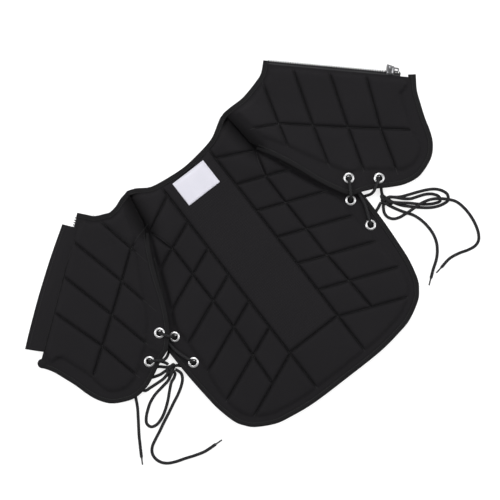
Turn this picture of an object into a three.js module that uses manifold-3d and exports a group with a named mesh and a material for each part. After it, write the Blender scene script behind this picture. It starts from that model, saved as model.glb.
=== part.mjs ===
// Equestrian body protector: a child's quilted foam vest, unzipped and laid open with its lining up.
// Millimetres, +Z up. The origin is on the ground under the middle of the back panel, +Y runs to the neck.
// The fronts are swung out to the two sides, and each one laps over the back along its closed armhole.

import * as THREE from 'three';
import { mergeVertices } from 'three/addons/utils/BufferGeometryUtils.js';
import { TessellateModifier } from 'three/addons/modifiers/TessellateModifier.js';
import Module from 'manifold-3d';

const wasm = await Module();
wasm.setup();

// Driving dimensions
const GAP = 0.3;                 // clearance between pieces that touch
const FOAM = 15;                 // thickness of the quilted foam
const MARGIN = 3.6;              // thickness of the flat sewn border round the foam
const MID = FOAM / 2;            // height of the panels' middle layer
const BINDING_WIDTH = 5.2;
const BINDING_HEIGHT = 5.2;
const PANEL_BOUND = BINDING_WIDTH + GAP;   // allowance for the binding outside a panel
const SEAM_BOUND = 0;            // the shoulder seam has no binding
const ZIP_BOUND = 5;             // the zip's tape takes the binding's place
const ARMHOLE_BARE = 2;          // points of the back's armhole that the shoulder lap leaves unbound
const FOAM_ROUND = 3.2;
const GROOVE_HALF_WIDTH = 2.8;   // sewn channels of the quilting
const GROOVE_FLOOR = 0.3;        // foam left over the border's faces in a channel
const GROOVE_OVER = { face: 0.4, end: 0.5 };   // reach of a channel's cut past the face and past its ends
const OUTLINE_STEP = 20;         // spacing of points along a curved edge
const FACET = { back: 150, front: 72, binding: 70 };   // longest facet edge where a piece bends
const FACET_SPLITS = 12;         // most times that a long facet is halved
const FOLD_STEP = 2;             // least forward step along the foam's outline
const BORDER_KEPT = 0.9;         // share of its border that a point of the foam's outline has to keep
const STRAIGHT = 0.08;           // sine of a turn below which two edges count as one line
const WELD = { plain: 1e-4, bent: 1e-3 };      // distance within which points are one

const EYELET = { hole: 4.3, barrel: 5.0, flange: 8.8, lip: 0.8, sides: 10 };
const LACE_RADIUS = 2.0;
const LACE_SIDES = 8;
const LACE_CLEAR = 0.35;         // clearance of a lace over an eyelet
const TIP = { radius: 1.4, length: 14, taper: 0.6 };
const KNOT = { long: 9.5, wide: 8.4, high: 5, z: 5.3 };
const LABEL = { left: -31, right: 31, bottom: 159, top: 203, thick: 0.8 };
const SEAM_LIFT = 14;            // height that the shoulder seam stands above the ground layer
const SEAM_REACH = 70;           // distance over which the back comes down from the seam
const NECK_RAMP = { before: 14, past: 4 };     // stretch of the neck's edge that climbs at the seam
const EYELET_FLAT = { inner: 12, outer: 22 };   // a front stays level round an eyelet
const SEAT = { radius: 10, raise: 0.1 };        // stiffened disc under an eyelet's flanges

const COLOURS = {
  fabric: { color: 0x1d1b1f, roughness: 0.85, metalness: 0 },
  binding: { color: 0x141416, roughness: 0.8, metalness: 0 },
  label: { color: 0xeeecf2, roughness: 0.7, metalness: 0 },
  lace: { color: 0x2e2e32, roughness: 0.9, metalness: 0 },
  silver: { color: 0xc9cacd, roughness: 0.3, metalness: 1 },
  zip: { color: 0x17171a, roughness: 0.5, metalness: 0 },
};

const table = (columns, rows) => {
  const names = columns.split(' ');
  return rows.map((row) => Object.fromEntries(names.map((name, i) => [name, row[i]])));
};

// The two fronts: top of the zip, direction of the zip from neck to hem, sign of X, and how far the hem hangs
// lower at the zip than the table of the hem says.
const FRONTS = {
  right: { sign: 1, top: [203.1, 268.7], turn: -43.03, hemDrop: 0 },
  left: { sign: -1, top: [-177.6, 258.2], turn: -142.19, hemDrop: 9 },
};
const HEM_DROP_REACH = 100;      // distance across from the zip where that drop ends

// Neck edge from the right zip to the left zip; border is the distance from the edge to the foam.
const NECK_RIGHT = table('x y border', [
  [203.1, 268.7, 12], [189.9, 256.7, 12], [177.9, 251.8, 12], [152.5, 245.1, 12], [135.8, 241.9, 12],
  [115.3, 241.6, 12], [103.8, 242.4, 12],
]);
const NECK_BACK = table('x y border', [
  [115.3, 241.6, 12], [103.8, 242.4, 12], [93.9, 240, 12], [82.2, 232.9, 12], [70.6, 225.7, 11],
  [58.7, 220.8, 10], [35, 216.7, 9], [0, 213.4, 9], [-36, 216.3, 9], [-61, 220.5, 10], [-72.2, 227, 11],
  [-82.7, 234.2, 12], [-95.3, 238.9, 12], [-108.5, 235, 12],
]);
const NECK_LEFT = table('x y border', [
  [-95.3, 238.9, 12], [-108.5, 235, 12], [-123.6, 228.6, 12], [-138.3, 227.8, 12], [-145.6, 231.4, 12],
  [-160.3, 238.7, 12], [-168.1, 246.9, 12], [-177.6, 258.2, 12],
]);

// Right half of the back from the shoulder to the hem: the hidden armhole edge, then the side and the hem.
const BACK_ARMHOLE = table('x y border', [
  [117.5, 163, 18], [141, 112, 20], [166, 61, 24], [187, 34, 30], [199, 14, 34],
]);
const BACK_SIDE = table('x y border', [
  [199, 14, 34], [200.5, 0, 34], [199.9, -49, 32], [197, -97, 23], [193.8, -127, 19], [186, -158, 18],
  [177, -173, 18], [165, -185.5, 18], [136.5, -201, 18], [111.6, -207, 18], [66.7, -212.7, 18],
  [0, -213.5, 18],
]);

// Hem and side of a front, along the zip from the neck and across it from the teeth.
const FRONT_HEM = table('along across border', [
  [246, 0, 12], [249.5, 22, 18], [257, 42, 18], [266, 64, 18], [276, 84, 19], [282.6, 103, 20],
  [283, 124, 20], [276, 143, 20], [264, 161, 22], [244, 174, 24], [221, 181, 28], [197, 186, 32],
  [176.7, 192.7, 36],
]);
// Armhole edge of a front from the side to the shoulder seam, X taken to the front's own side.
const FRONT_ARMHOLE = table('x y border', [
  [182, 15, 36], [168, 36, 34], [154, 65, 31], [134, 115, 25], [109, 165, 20],
]);
const SEAM_FOOT = { x: 109, y: 165 };

// Raised edge of a front: lift above its flat part, puff, the extra rise just inside the edge, and the reach
// over which the front comes down from the edge.
const FRONT_RIDGE = table('x y lift puff reach', [
  [99, 241, 18.2, 0.5, 72], [109, 165, 20.5, 0.45, 98], [134, 115, 17.5, 0.2, 105],
  [154, 65, 14.5, 0.1, 105], [183, 16, 12, 0, 105], [202, 5, 11.5, 0, 105], [222, -3, 7, 0, 90],
  [241, -14, 3, 0, 80], [262, -26, 0, 0, 80],
]);
const PUFF_WIDTH = 56;

// Quilting of the back: spine seams, and cross seams that run outward and down to the ends in this table.
const SPINE_HALF = 48.5;
const SPINE_FOOT = -125;
const SPINE_SEAM = { top: 213.3, foot: -198 };
const CROSS_TOP = 193.3;
const CROSS_PITCH = 53.3;
const CROSS_ENDS = table('x slope', [
  [107, -0.5], [150, -0.4], [162, -0.4], [168, -0.4], [173, -0.4], [178, -0.4], [158, -0.41],
]);
const BACK_MID_SEAM = [[107, 163], [94, 118], [94, -30], [100, -145]];
// Quilting of a front, along and across: one seam beside the zip's line and four cross seams.
const FRONT_MID_SEAM = [[-12, 112], [36, 96], [90, 92], [243, 87]];
const FRONT_CROSS_SEAMS = [
  [[-4, 20], [32, 94], [52, 134]],
  [[48, 5], [87, 91], [121, 160]],
  [[106, 5], [145, 92], [177, 162]],
  [[162, 6], [196, 88], [232, 161]],
];

// Places of the eyelets: on a front along and across, on the back in X and Y.
const FRONT_EYELETS = { upper: [153, 173], lower: [201.6, 168.4] };
const BACK_EYELETS = { upper: [178.5, 8], lower: [179.5, -43] };

// Front zip, along and across.
const ZIP = {
  start: 7, end: 221,
  tape: { inner: 4.7, outer: 0.5, half: 0.6 },
  teeth: { inner: 0.2, outer: -4.4, half: 1.7 },
};
const SLIDER = {
  start: 198, end: 210, inner: 1.7, wide: -14.9, narrow: -12, plate: 1.2, clearance: 0.4,
  post: { start: 199.5, end: 205, inner: -5, outer: -7.8 },
  lip: { width: 1, tapeGap: 0.6 },
};
const BAIL = { centre: 204, across: -8.2, half: 4, width: 2, thick: 0.9, rise: 2.5 };
const PULL = {
  length: 15.3, width: 7.4, bar: 1.4, thick: 1.4, corner: 2, lean: 7.2,
  window: { length: 4.6, width: 3.4 },
  slot: { start: 8, length: 5.4, width: 2.8 },
};
const FLAP = {
  start: 24, end: 231, inner: 8.5, outerTop: -22.6, outerFoot: -31,
  thick: 1.8, droop: 6.5, fold: 1, bow: 0.55, steps: 8,
};

// Geometry helpers
function frontPoint(side, along, across) {
  const { sign, top, turn } = FRONTS[side];
  const angle = THREE.MathUtils.degToRad(turn);
  const dx = Math.cos(angle);
  const dy = Math.sin(angle);
  const inward = sign * across;
  return new THREE.Vector2(top[0] + along * dx + inward * dy, top[1] + along * dy - inward * dx);
}

const vec = ([x, y]) => new THREE.Vector2(x, y);
const mirrorRows = (rows, sign) => rows.map((row) => ({ ...row, x: sign * row.x }));
const mix = THREE.MathUtils.lerp;
const smooth = THREE.MathUtils.smoothstep;

// Points along a smooth bound edge through its rows; a point's bound is the allowance of the edge it starts.
function stretch(rows) {
  const curve = new THREE.SplineCurve(rows.map((row) => new THREE.Vector2(row.x, row.y)));
  const last = rows.length - 1;
  const points = [];
  for (let i = 0; i < last; i += 1) {
    const length = Math.hypot(rows[i + 1].x - rows[i].x, rows[i + 1].y - rows[i].y);
    const count = Math.max(1, Math.round(length / OUTLINE_STEP));
    for (let j = 0; j < count; j += 1) {
      const t = j / count;
      const border = mix(rows[i].border, rows[i + 1].border, t);
      points.push({ p: curve.getPoint((i + t) / last), bound: PANEL_BOUND, border });
    }
  }
  points.push({ p: curve.getPoint(1), bound: PANEL_BOUND, border: rows[last].border });
  return points;
}

// Gives the edge that starts at a stretch's last point its own allowance.
const endWith = (points, bound) => points.map((v, i) => (i < points.length - 1 ? v : { ...v, bound }));

// Joins stretches end to end; each joint keeps the later stretch's values.
const chain = (...stretches) => stretches.flatMap((part, i) => (
  i < stretches.length - 1 ? part.slice(0, -1) : part));

function loopSign(loop) {
  return Math.sign(THREE.ShapeUtils.area(loop.map((v) => v.p)));
}

// Moves each edge of a loop or an open line inward by its own distance; sign is +1 where that is to the left.
function inset(line, distanceOf, sign, closed = true) {
  const count = line.length;
  const edge = (i) => {
    const from = line[(i + count) % count];
    const to = line[(i + 1) % count];
    const d = to.p.clone().sub(from.p).normalize();
    return { normal: new THREE.Vector2(-d.y * sign, d.x * sign), distance: distanceOf(from, to) };
  };
  return line.map((vertex, i) => {
    const before = edge(closed || i > 0 ? i - 1 : 0);
    const after = edge(closed || i < count - 1 ? i : count - 2);
    const cross = before.normal.cross(after.normal);
    if (Math.abs(cross) < STRAIGHT) {
      const normal = before.normal.clone().add(after.normal).normalize();
      return vertex.p.clone().addScaledVector(normal, (before.distance + after.distance) / 2);
    }
    const x = (before.distance * after.normal.y - after.distance * before.normal.y) / cross;
    const y = (after.distance * before.normal.x - before.distance * after.normal.x) / cross;
    return vertex.p.clone().add(new THREE.Vector2(x, y));
  });
}

function nearestOn(p, line, closed) {
  let best = { distance: Infinity, index: 0, t: 0 };
  const last = closed ? line.length : line.length - 1;
  for (let i = 0; i < last; i += 1) {
    const a = line[i];
    const b = line[(i + 1) % line.length];
    const ab = b.clone().sub(a);
    const t = THREE.MathUtils.clamp(p.clone().sub(a).dot(ab) / ab.lengthSq(), 0, 1);
    const distance = p.distanceTo(a.clone().addScaledVector(ab, t));
    if (distance < best.distance) best = { distance, index: i, t };
  }
  return best;
}

// Outline of the foam: the loop moved in by its borders, without the points that a tight corner folds over.
function foamOutline(loop) {
  const edgeLine = loop.map((v) => v.p);
  const moved = inset(loop, (from, to) => (from.border + to.border) / 2, loopSign(loop));
  const outline = [];
  moved.forEach((p, i) => {
    if (nearestOn(p, edgeLine, true).distance < BORDER_KEPT * loop[i].border) return;
    const behind = edgeLine[(i + loop.length - 1) % loop.length];
    const forward = edgeLine[(i + 1) % loop.length].clone().sub(behind);
    const last = outline[outline.length - 1];
    if (!last || p.clone().sub(last).dot(forward.normalize()) > FOLD_STEP) outline.push(p);
  });
  return outline;
}

function bare(geometry) {
  const clean = geometry.index ? geometry.toNonIndexed() : geometry;
  clean.deleteAttribute('normal');
  clean.deleteAttribute('uv');
  return mergeVertices(clean, WELD.plain);
}

function prism(points, low, high, round = 0) {
  const options = { depth: high - low - 2 * round, bevelEnabled: round > 0 };
  Object.assign(options, { bevelThickness: round, bevelSize: round, bevelOffset: -round, bevelSegments: 1 });
  return new THREE.ExtrudeGeometry(new THREE.Shape(points), options).translate(0, 0, low + round);
}

function solid(geometry) {
  const { index, attributes } = bare(geometry);
  const vertProperties = new Float32Array(attributes.position.array);
  const triVerts = new Uint32Array(index.array);
  return new wasm.Manifold(new wasm.Mesh({ numProp: 3, vertProperties, triVerts }));
}

function geometryOf(manifold) {
  const { vertProperties, triVerts } = manifold.getMesh();
  const geometry = new THREE.BufferGeometry();
  geometry.setAttribute('position', new THREE.BufferAttribute(new Float32Array(vertProperties), 3));
  geometry.setIndex(new THREE.BufferAttribute(new Uint32Array(triVerts), 1));
  return geometry;
}

// Splits long facets and raises every point by the height of the bent middle layer under it.
function bend(geometry, liftAt, facet) {
  const fine = mergeVertices(new TessellateModifier(facet, FACET_SPLITS).modify(geometry), WELD.bent);
  const position = fine.attributes.position;
  for (let i = 0; i < position.count; i += 1) {
    position.setZ(i, position.getZ(i) + liftAt(new THREE.Vector2(position.getX(i), position.getY(i))));
  }
  return fine;
}

// A wedge cut along a straight seam, open at the lining side.
function groove(from, to) {
  const face = FOAM + GROOVE_OVER.face;
  const floor = MID + MARGIN / 2 + GROOVE_FLOOR;
  const wedge = new THREE.Shape([
    new THREE.Vector2(-GROOVE_HALF_WIDTH, face),
    new THREE.Vector2(0, floor),
    new THREE.Vector2(GROOVE_HALF_WIDTH, face),
  ]);
  const depth = from.distanceTo(to) + 2 * GROOVE_OVER.end;
  const heading = Math.atan2(to.y - from.y, to.x - from.x);
  const geometry = new THREE.ExtrudeGeometry(wedge, { depth, bevelEnabled: false });
  geometry.translate(0, 0, -GROOVE_OVER.end).rotateX(Math.PI / 2).rotateZ(heading + Math.PI / 2);
  return solid(geometry.translate(from.x, from.y, 0));
}

function quilt(foam, seams) {
  let cut = foam;
  for (const seam of seams) {
    for (let i = 0; i + 1 < seam.length; i += 1) {
      cut = cut.subtract(groove(seam[i], seam[i + 1]));
    }
  }
  return cut;
}

// A padded panel: foam inside a thin sewn border, with sewn channels and eyelet holes.
function paddedPanel(loop, seams, eyelets, liftAt, facet) {
  const border = prism(inset(loop, (v) => v.bound, loopSign(loop)), MID - MARGIN / 2, MID + MARGIN / 2);
  const foam = quilt(solid(prism(foamOutline(loop), 0, FOAM, FOAM_ROUND)), seams);
  let panel = foam.add(solid(border));
  const disc = (radius, height, { x, y }) => {
    const cylinder = new THREE.CylinderGeometry(radius, radius, height, EYELET.sides);
    return solid(cylinder.rotateX(Math.PI / 2).translate(x, y, MID));
  };
  for (const eyelet of eyelets) {
    panel = panel.add(disc(SEAT.radius, MARGIN + 2 * SEAT.raise, eyelet));
    panel = panel.subtract(disc(EYELET.barrel + GAP, FOAM, eyelet));
  }
  return bend(geometryOf(panel), liftAt, facet);
}

// A bound edge: a rounded strip along the finished edge, just outside the panel.
function boundEdge(line, sign, closed, range, liftAt) {
  const inner = inset(line, () => BINDING_WIDTH, sign, closed).slice(...range);
  const outer = line.map((v) => v.p).slice(...range);
  const half = BINDING_HEIGHT / 2;
  return bend(bare(prism([...outer, ...inner.reverse()], MID - half, MID + half)), liftAt, FACET.binding);
}

// Heights of the panels' middle layers above the flat lay
function backLift(p) {
  const seam = [];
  for (const sign of [1, -1]) {
    const foot = new THREE.Vector2(sign * SEAM_FOOT.x, SEAM_FOOT.y);
    const neck = new THREE.Vector2(sign * FRONT_RIDGE[0].x, FRONT_RIDGE[0].y);
    const seamX = mix(neck.x, foot.x, (neck.y - p.y) / (neck.y - foot.y));
    const beyond = (p.x - seamX) * sign > 0 && p.y > foot.y;
    seam.push(beyond ? 0 : nearestOn(p, [neck, foot], false).distance);
  }
  return SEAM_LIFT * (1 - smooth(Math.min(...seam), 0, SEAM_REACH));
}

function ridgeLift(p, sign) {
  const line = FRONT_RIDGE.map((row) => new THREE.Vector2(sign * row.x, row.y));
  const { distance, index, t } = nearestOn(p, line, false);
  const a = FRONT_RIDGE[index];
  const b = FRONT_RIDGE[index + 1];
  const near = Math.min(distance / PUFF_WIDTH, 1);
  const puff = mix(a.puff, b.puff, t) * 4 * near * (1 - near);
  const fall = 1 - smooth(distance, 0, mix(a.reach, b.reach, t));
  return mix(a.lift, b.lift, t) * fall * (1 + puff);
}

function frontLift(side) {
  const { sign } = FRONTS[side];
  const seats = Object.values(FRONT_EYELETS).map(([along, across]) => frontPoint(side, along, across));
  return (p) => {
    let lift = ridgeLift(p, sign);
    for (const seat of seats) {
      const away = smooth(p.distanceTo(seat), EYELET_FLAT.inner, EYELET_FLAT.outer);
      lift = mix(ridgeLift(seat, sign), lift, away);
    }
    return lift;
  };
}

// Follows the back between the shoulder seams and the fronts beyond them, with a short ramp at each seam.
function neckLift(p) {
  const side = p.x > 0 ? 'right' : 'left';
  const seam = FRONT_RIDGE[0].x;
  const past = smooth(Math.abs(p.x), seam - NECK_RAMP.before, seam + NECK_RAMP.past);
  return mix(backLift(p), frontLift(side)(p), past);
}

// Meshes
const vest = new THREE.Group();

function add(name, geometry, finish, parent = vest) {
  const mesh = new THREE.Mesh(geometry, new THREE.MeshStandardMaterial(COLOURS[finish]));
  mesh.name = name;
  parent.add(mesh);
  return mesh;
}

// Back panel with its bound armholes, sides and hem
const backHalf = chain(stretch(BACK_ARMHOLE), stretch(BACK_SIDE));
const mirrored = backHalf.map((v) => ({ ...v, p: new THREE.Vector2(-v.p.x, v.p.y) })).reverse();
const backEdge = endWith(chain(backHalf, mirrored), SEAM_BOUND);
const backLoop = [...backEdge, ...endWith(stretch(NECK_BACK.slice().reverse()), SEAM_BOUND)];

function backSeams() {
  const seams = [[vec([-SPINE_HALF, SPINE_FOOT]), vec([SPINE_HALF, SPINE_FOOT])]];
  for (const sign of [1, -1]) {
    seams.push([vec([sign * SPINE_HALF, SPINE_SEAM.top]), vec([sign * SPINE_HALF, SPINE_SEAM.foot])]);
    seams.push(BACK_MID_SEAM.map(([x, y]) => vec([sign * x, y])));
    CROSS_ENDS.forEach(({ x, slope }, row) => {
      const start = CROSS_TOP - CROSS_PITCH * row;
      seams.push([vec([sign * SPINE_HALF, start]), vec([sign * x, start + slope * (x - SPINE_HALF)])]);
    });
  }
  return seams;
}

const backEyelets = [1, -1].flatMap((sign) => (
  Object.values(BACK_EYELETS).map(([x, y]) => vec([sign * x, y]))));
add('back_panel', paddedPanel(backLoop, backSeams(), backEyelets, backLift, FACET.back), 'fabric');
const boundRange = [ARMHOLE_BARE, backEdge.length - ARMHOLE_BARE];
add('back_binding', boundEdge(backLoop, loopSign(backLoop), true, boundRange, backLift), 'binding');

const neckLine = chain(stretch(NECK_RIGHT), stretch(NECK_BACK.slice(1, -1)), stretch(NECK_LEFT));
add('neck_binding', boundEdge(neckLine, 1, false, [0, neckLine.length], neckLift), 'binding');

// Front panels
function frontLoop(side) {
  const { sign, hemDrop } = FRONTS[side];
  const dropAt = (across) => hemDrop * Math.max(0, 1 - across / HEM_DROP_REACH);
  const hemRows = FRONT_HEM.map(({ along, across, border }) => (
    { ...frontPoint(side, along + dropAt(across), across), border }));
  const sideEnd = hemRows[hemRows.length - 1];
  const armhole = stretch([sideEnd, ...mirrorRows(FRONT_ARMHOLE, sign)]);
  const neckRows = side === 'right' ? NECK_RIGHT.slice().reverse() : NECK_LEFT;
  return {
    edge: endWith(chain(stretch(hemRows), armhole), SEAM_BOUND),
    neck: endWith(stretch(neckRows), ZIP_BOUND),
  };
}

for (const side of Object.keys(FRONTS)) {
  const { edge, neck } = frontLoop(side);
  const loop = [...edge, ...neck];
  const liftAt = frontLift(side);
  const seams = [FRONT_MID_SEAM, ...FRONT_CROSS_SEAMS].map((seam) => seam.map((p) => frontPoint(side, ...p)));
  const eyelets = Object.values(FRONT_EYELETS).map((p) => frontPoint(side, ...p));
  add(`front_panel_${side}`, paddedPanel(loop, seams, eyelets, liftAt, FACET.front), 'fabric');
  const binding = boundEdge(loop, loopSign(loop), true, [0, edge.length], liftAt);
  add(`front_binding_${side}`, binding, 'binding');
}

// Label inside the back of the neck
const labelCorners = [
  [LABEL.left, LABEL.bottom], [LABEL.right, LABEL.bottom], [LABEL.right, LABEL.top],
  [LABEL.left, LABEL.top],
].map(vec);
add('neck_label', prism(labelCorners, FOAM + GAP, FOAM + GAP + LABEL.thick), 'label');

// Eyelets of the side lacing
const EYELET_HALF = MARGIN / 2 + SEAT.raise + GAP + EYELET.lip;
const PLACES = [];
for (const side of Object.keys(FRONTS)) {
  const { sign } = FRONTS[side];
  for (const level of ['upper', 'lower']) {
    const front = frontPoint(side, ...FRONT_EYELETS[level]);
    const back = vec([sign * BACK_EYELETS[level][0], BACK_EYELETS[level][1]]);
    PLACES.push({ name: `eyelet_front_${side}_${level}`, p: front, z: MID + frontLift(side)(front) });
    PLACES.push({ name: `eyelet_back_${side}_${level}`, p: back, z: MID });
  }
}

function eyeletRing() {
  const { hole, barrel, flange, lip, sides } = EYELET;
  const inner = EYELET_HALF - lip;
  const section = [
    [hole, -EYELET_HALF], [flange, -EYELET_HALF], [flange, -inner], [barrel, -inner],
    [barrel, inner], [flange, inner], [flange, EYELET_HALF], [hole, EYELET_HALF], [hole, -EYELET_HALF],
  ];
  return bare(new THREE.LatheGeometry(section.map(vec), sides)).rotateX(Math.PI / 2);
}

for (const { name, p, z } of PLACES) {
  add(name, eyeletRing(), 'silver').position.set(p.x, p.y, z);
}

// Open front zip
const frontBox = (side, along0, along1, across0, across1) => [
  frontPoint(side, along0, across0), frontPoint(side, along1, across0),
  frontPoint(side, along1, across1), frontPoint(side, along0, across1),
];

for (const side of Object.keys(FRONTS)) {
  for (const piece of ['tape', 'teeth']) {
    const { inner, outer, half } = ZIP[piece];
    const strip = frontBox(side, ZIP.start, ZIP.end, outer, inner);
    add(`zip_${piece}_${side}`, prism(strip, MID - half, MID + half), piece === 'tape' ? 'binding' : 'zip');
  }
}

// Slider: two plates joined by a post, with lips that hold the teeth and a bail for the pull underneath
function sliderSolid() {
  const side = 'right';
  const inside = ZIP.teeth.half + SLIDER.clearance;
  const outside = inside + SLIDER.plate;
  const outline = [
    frontPoint(side, SLIDER.start, SLIDER.inner), frontPoint(side, SLIDER.end, SLIDER.inner),
    frontPoint(side, SLIDER.end, SLIDER.narrow), frontPoint(side, SLIDER.start, SLIDER.wide),
  ];
  const { post, lip } = SLIDER;
  const lipReach = ZIP.tape.half + lip.tapeGap;
  const lipBox = frontBox(side, SLIDER.start, SLIDER.end, SLIDER.inner - lip.width, SLIDER.inner);
  const bailBox = (from, to) => frontBox(side, BAIL.centre + from, BAIL.centre + to,
    BAIL.across - BAIL.width / 2, BAIL.across + BAIL.width / 2);
  const strap = -outside - BAIL.rise;
  const pieces = [
    [outline, inside, outside], [outline, -outside, -inside],
    [frontBox(side, post.start, post.end, post.outer, post.inner), -outside, outside],
    [lipBox, lipReach, outside], [lipBox, -outside, -lipReach],
    [bailBox(-BAIL.half, BAIL.half), strap - BAIL.thick, strap],
    [bailBox(-BAIL.half, -BAIL.half + BAIL.thick), strap - BAIL.thick, -inside],
    [bailBox(BAIL.half - BAIL.thick, BAIL.half), strap - BAIL.thick, -inside],
  ];
  const solids = pieces.map(([points, low, high]) => solid(prism(points, MID + low, MID + high)));
  return solids.reduce((joined, next) => joined.add(next));
}

add('zip_slider', geometryOf(sliderSolid()), 'silver');

// Pull: a flat tab with a slot, whose end bar turns inside the bail, resting with its tip near the ground
function pullShape() {
  const half = PULL.width / 2;
  const start = -PULL.bar / 2;
  const tip = PULL.length;
  const { corner } = PULL;
  const outline = [
    [start, -half], [tip - corner, -half], [tip, corner - half],
    [tip, half - corner], [tip - corner, half], [start, half],
  ];
  const shape = new THREE.Shape(outline.map(vec));
  const openings = [{ start: PULL.bar / 2, ...PULL.window }, PULL.slot];
  for (const { start: near, length, width } of openings) {
    const far = near + length;
    const side = width / 2;
    shape.holes.push(new THREE.Path([[near, -side], [near, side], [far, side], [far, -side]].map(vec)));
  }
  return shape;
}

const pullHinge = frontPoint('right', BAIL.centre, BAIL.across);
const pullGroup = new THREE.Group();
const sliderFoot = MID - ZIP.teeth.half - SLIDER.clearance - SLIDER.plate;
pullGroup.position.set(pullHinge.x, pullHinge.y, sliderFoot - BAIL.rise / 2);
pullGroup.rotation.z = THREE.MathUtils.degToRad(FRONTS.right.turn);
vest.add(pullGroup);
const pullTab = new THREE.ExtrudeGeometry(pullShape(), { depth: PULL.thick, bevelEnabled: false });
const pull = add('zip_pull', pullTab.translate(0, 0, -PULL.thick / 2), 'silver', pullGroup);
pull.rotation.y = THREE.MathUtils.degToRad(PULL.lean);

// Wind flap over the left zip, sewn to the border and drooping past the teeth
function flapGeometry() {
  const high = MID + MARGIN / 2 + GAP;
  const rows = table('across drop', [
    [FLAP.inner, 0], [ZIP.teeth.outer - FLAP.fold, 0], [mix(ZIP.teeth.outer, FLAP.outerTop, FLAP.bow), 0.5],
    [FLAP.outerTop, 1],
  ]);
  const under = rows.map(({ across, drop }) => new THREE.Vector2(across, high - drop * FLAP.droop));
  const over = under.map((p) => new THREE.Vector2(p.x, p.y + FLAP.thick)).reverse();
  const geometry = new THREE.ExtrudeGeometry(new THREE.Shape([...under, ...over]), {
    depth: FLAP.end - FLAP.start, steps: FLAP.steps, bevelEnabled: false,
  });
  const position = geometry.attributes.position;
  for (let i = 0; i < position.count; i += 1) {
    const share = position.getZ(i) / (FLAP.end - FLAP.start);
    const across = position.getX(i);
    const widen = across < ZIP.teeth.outer ? mix(1, FLAP.outerFoot / FLAP.outerTop, share) : 1;
    const p = frontPoint('left', FLAP.start + position.getZ(i), across * widen);
    position.setXYZ(i, p.x, p.y, position.getY(i));
  }
  return bare(geometry);
}

add('zip_flap', flapGeometry(), 'binding');

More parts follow.
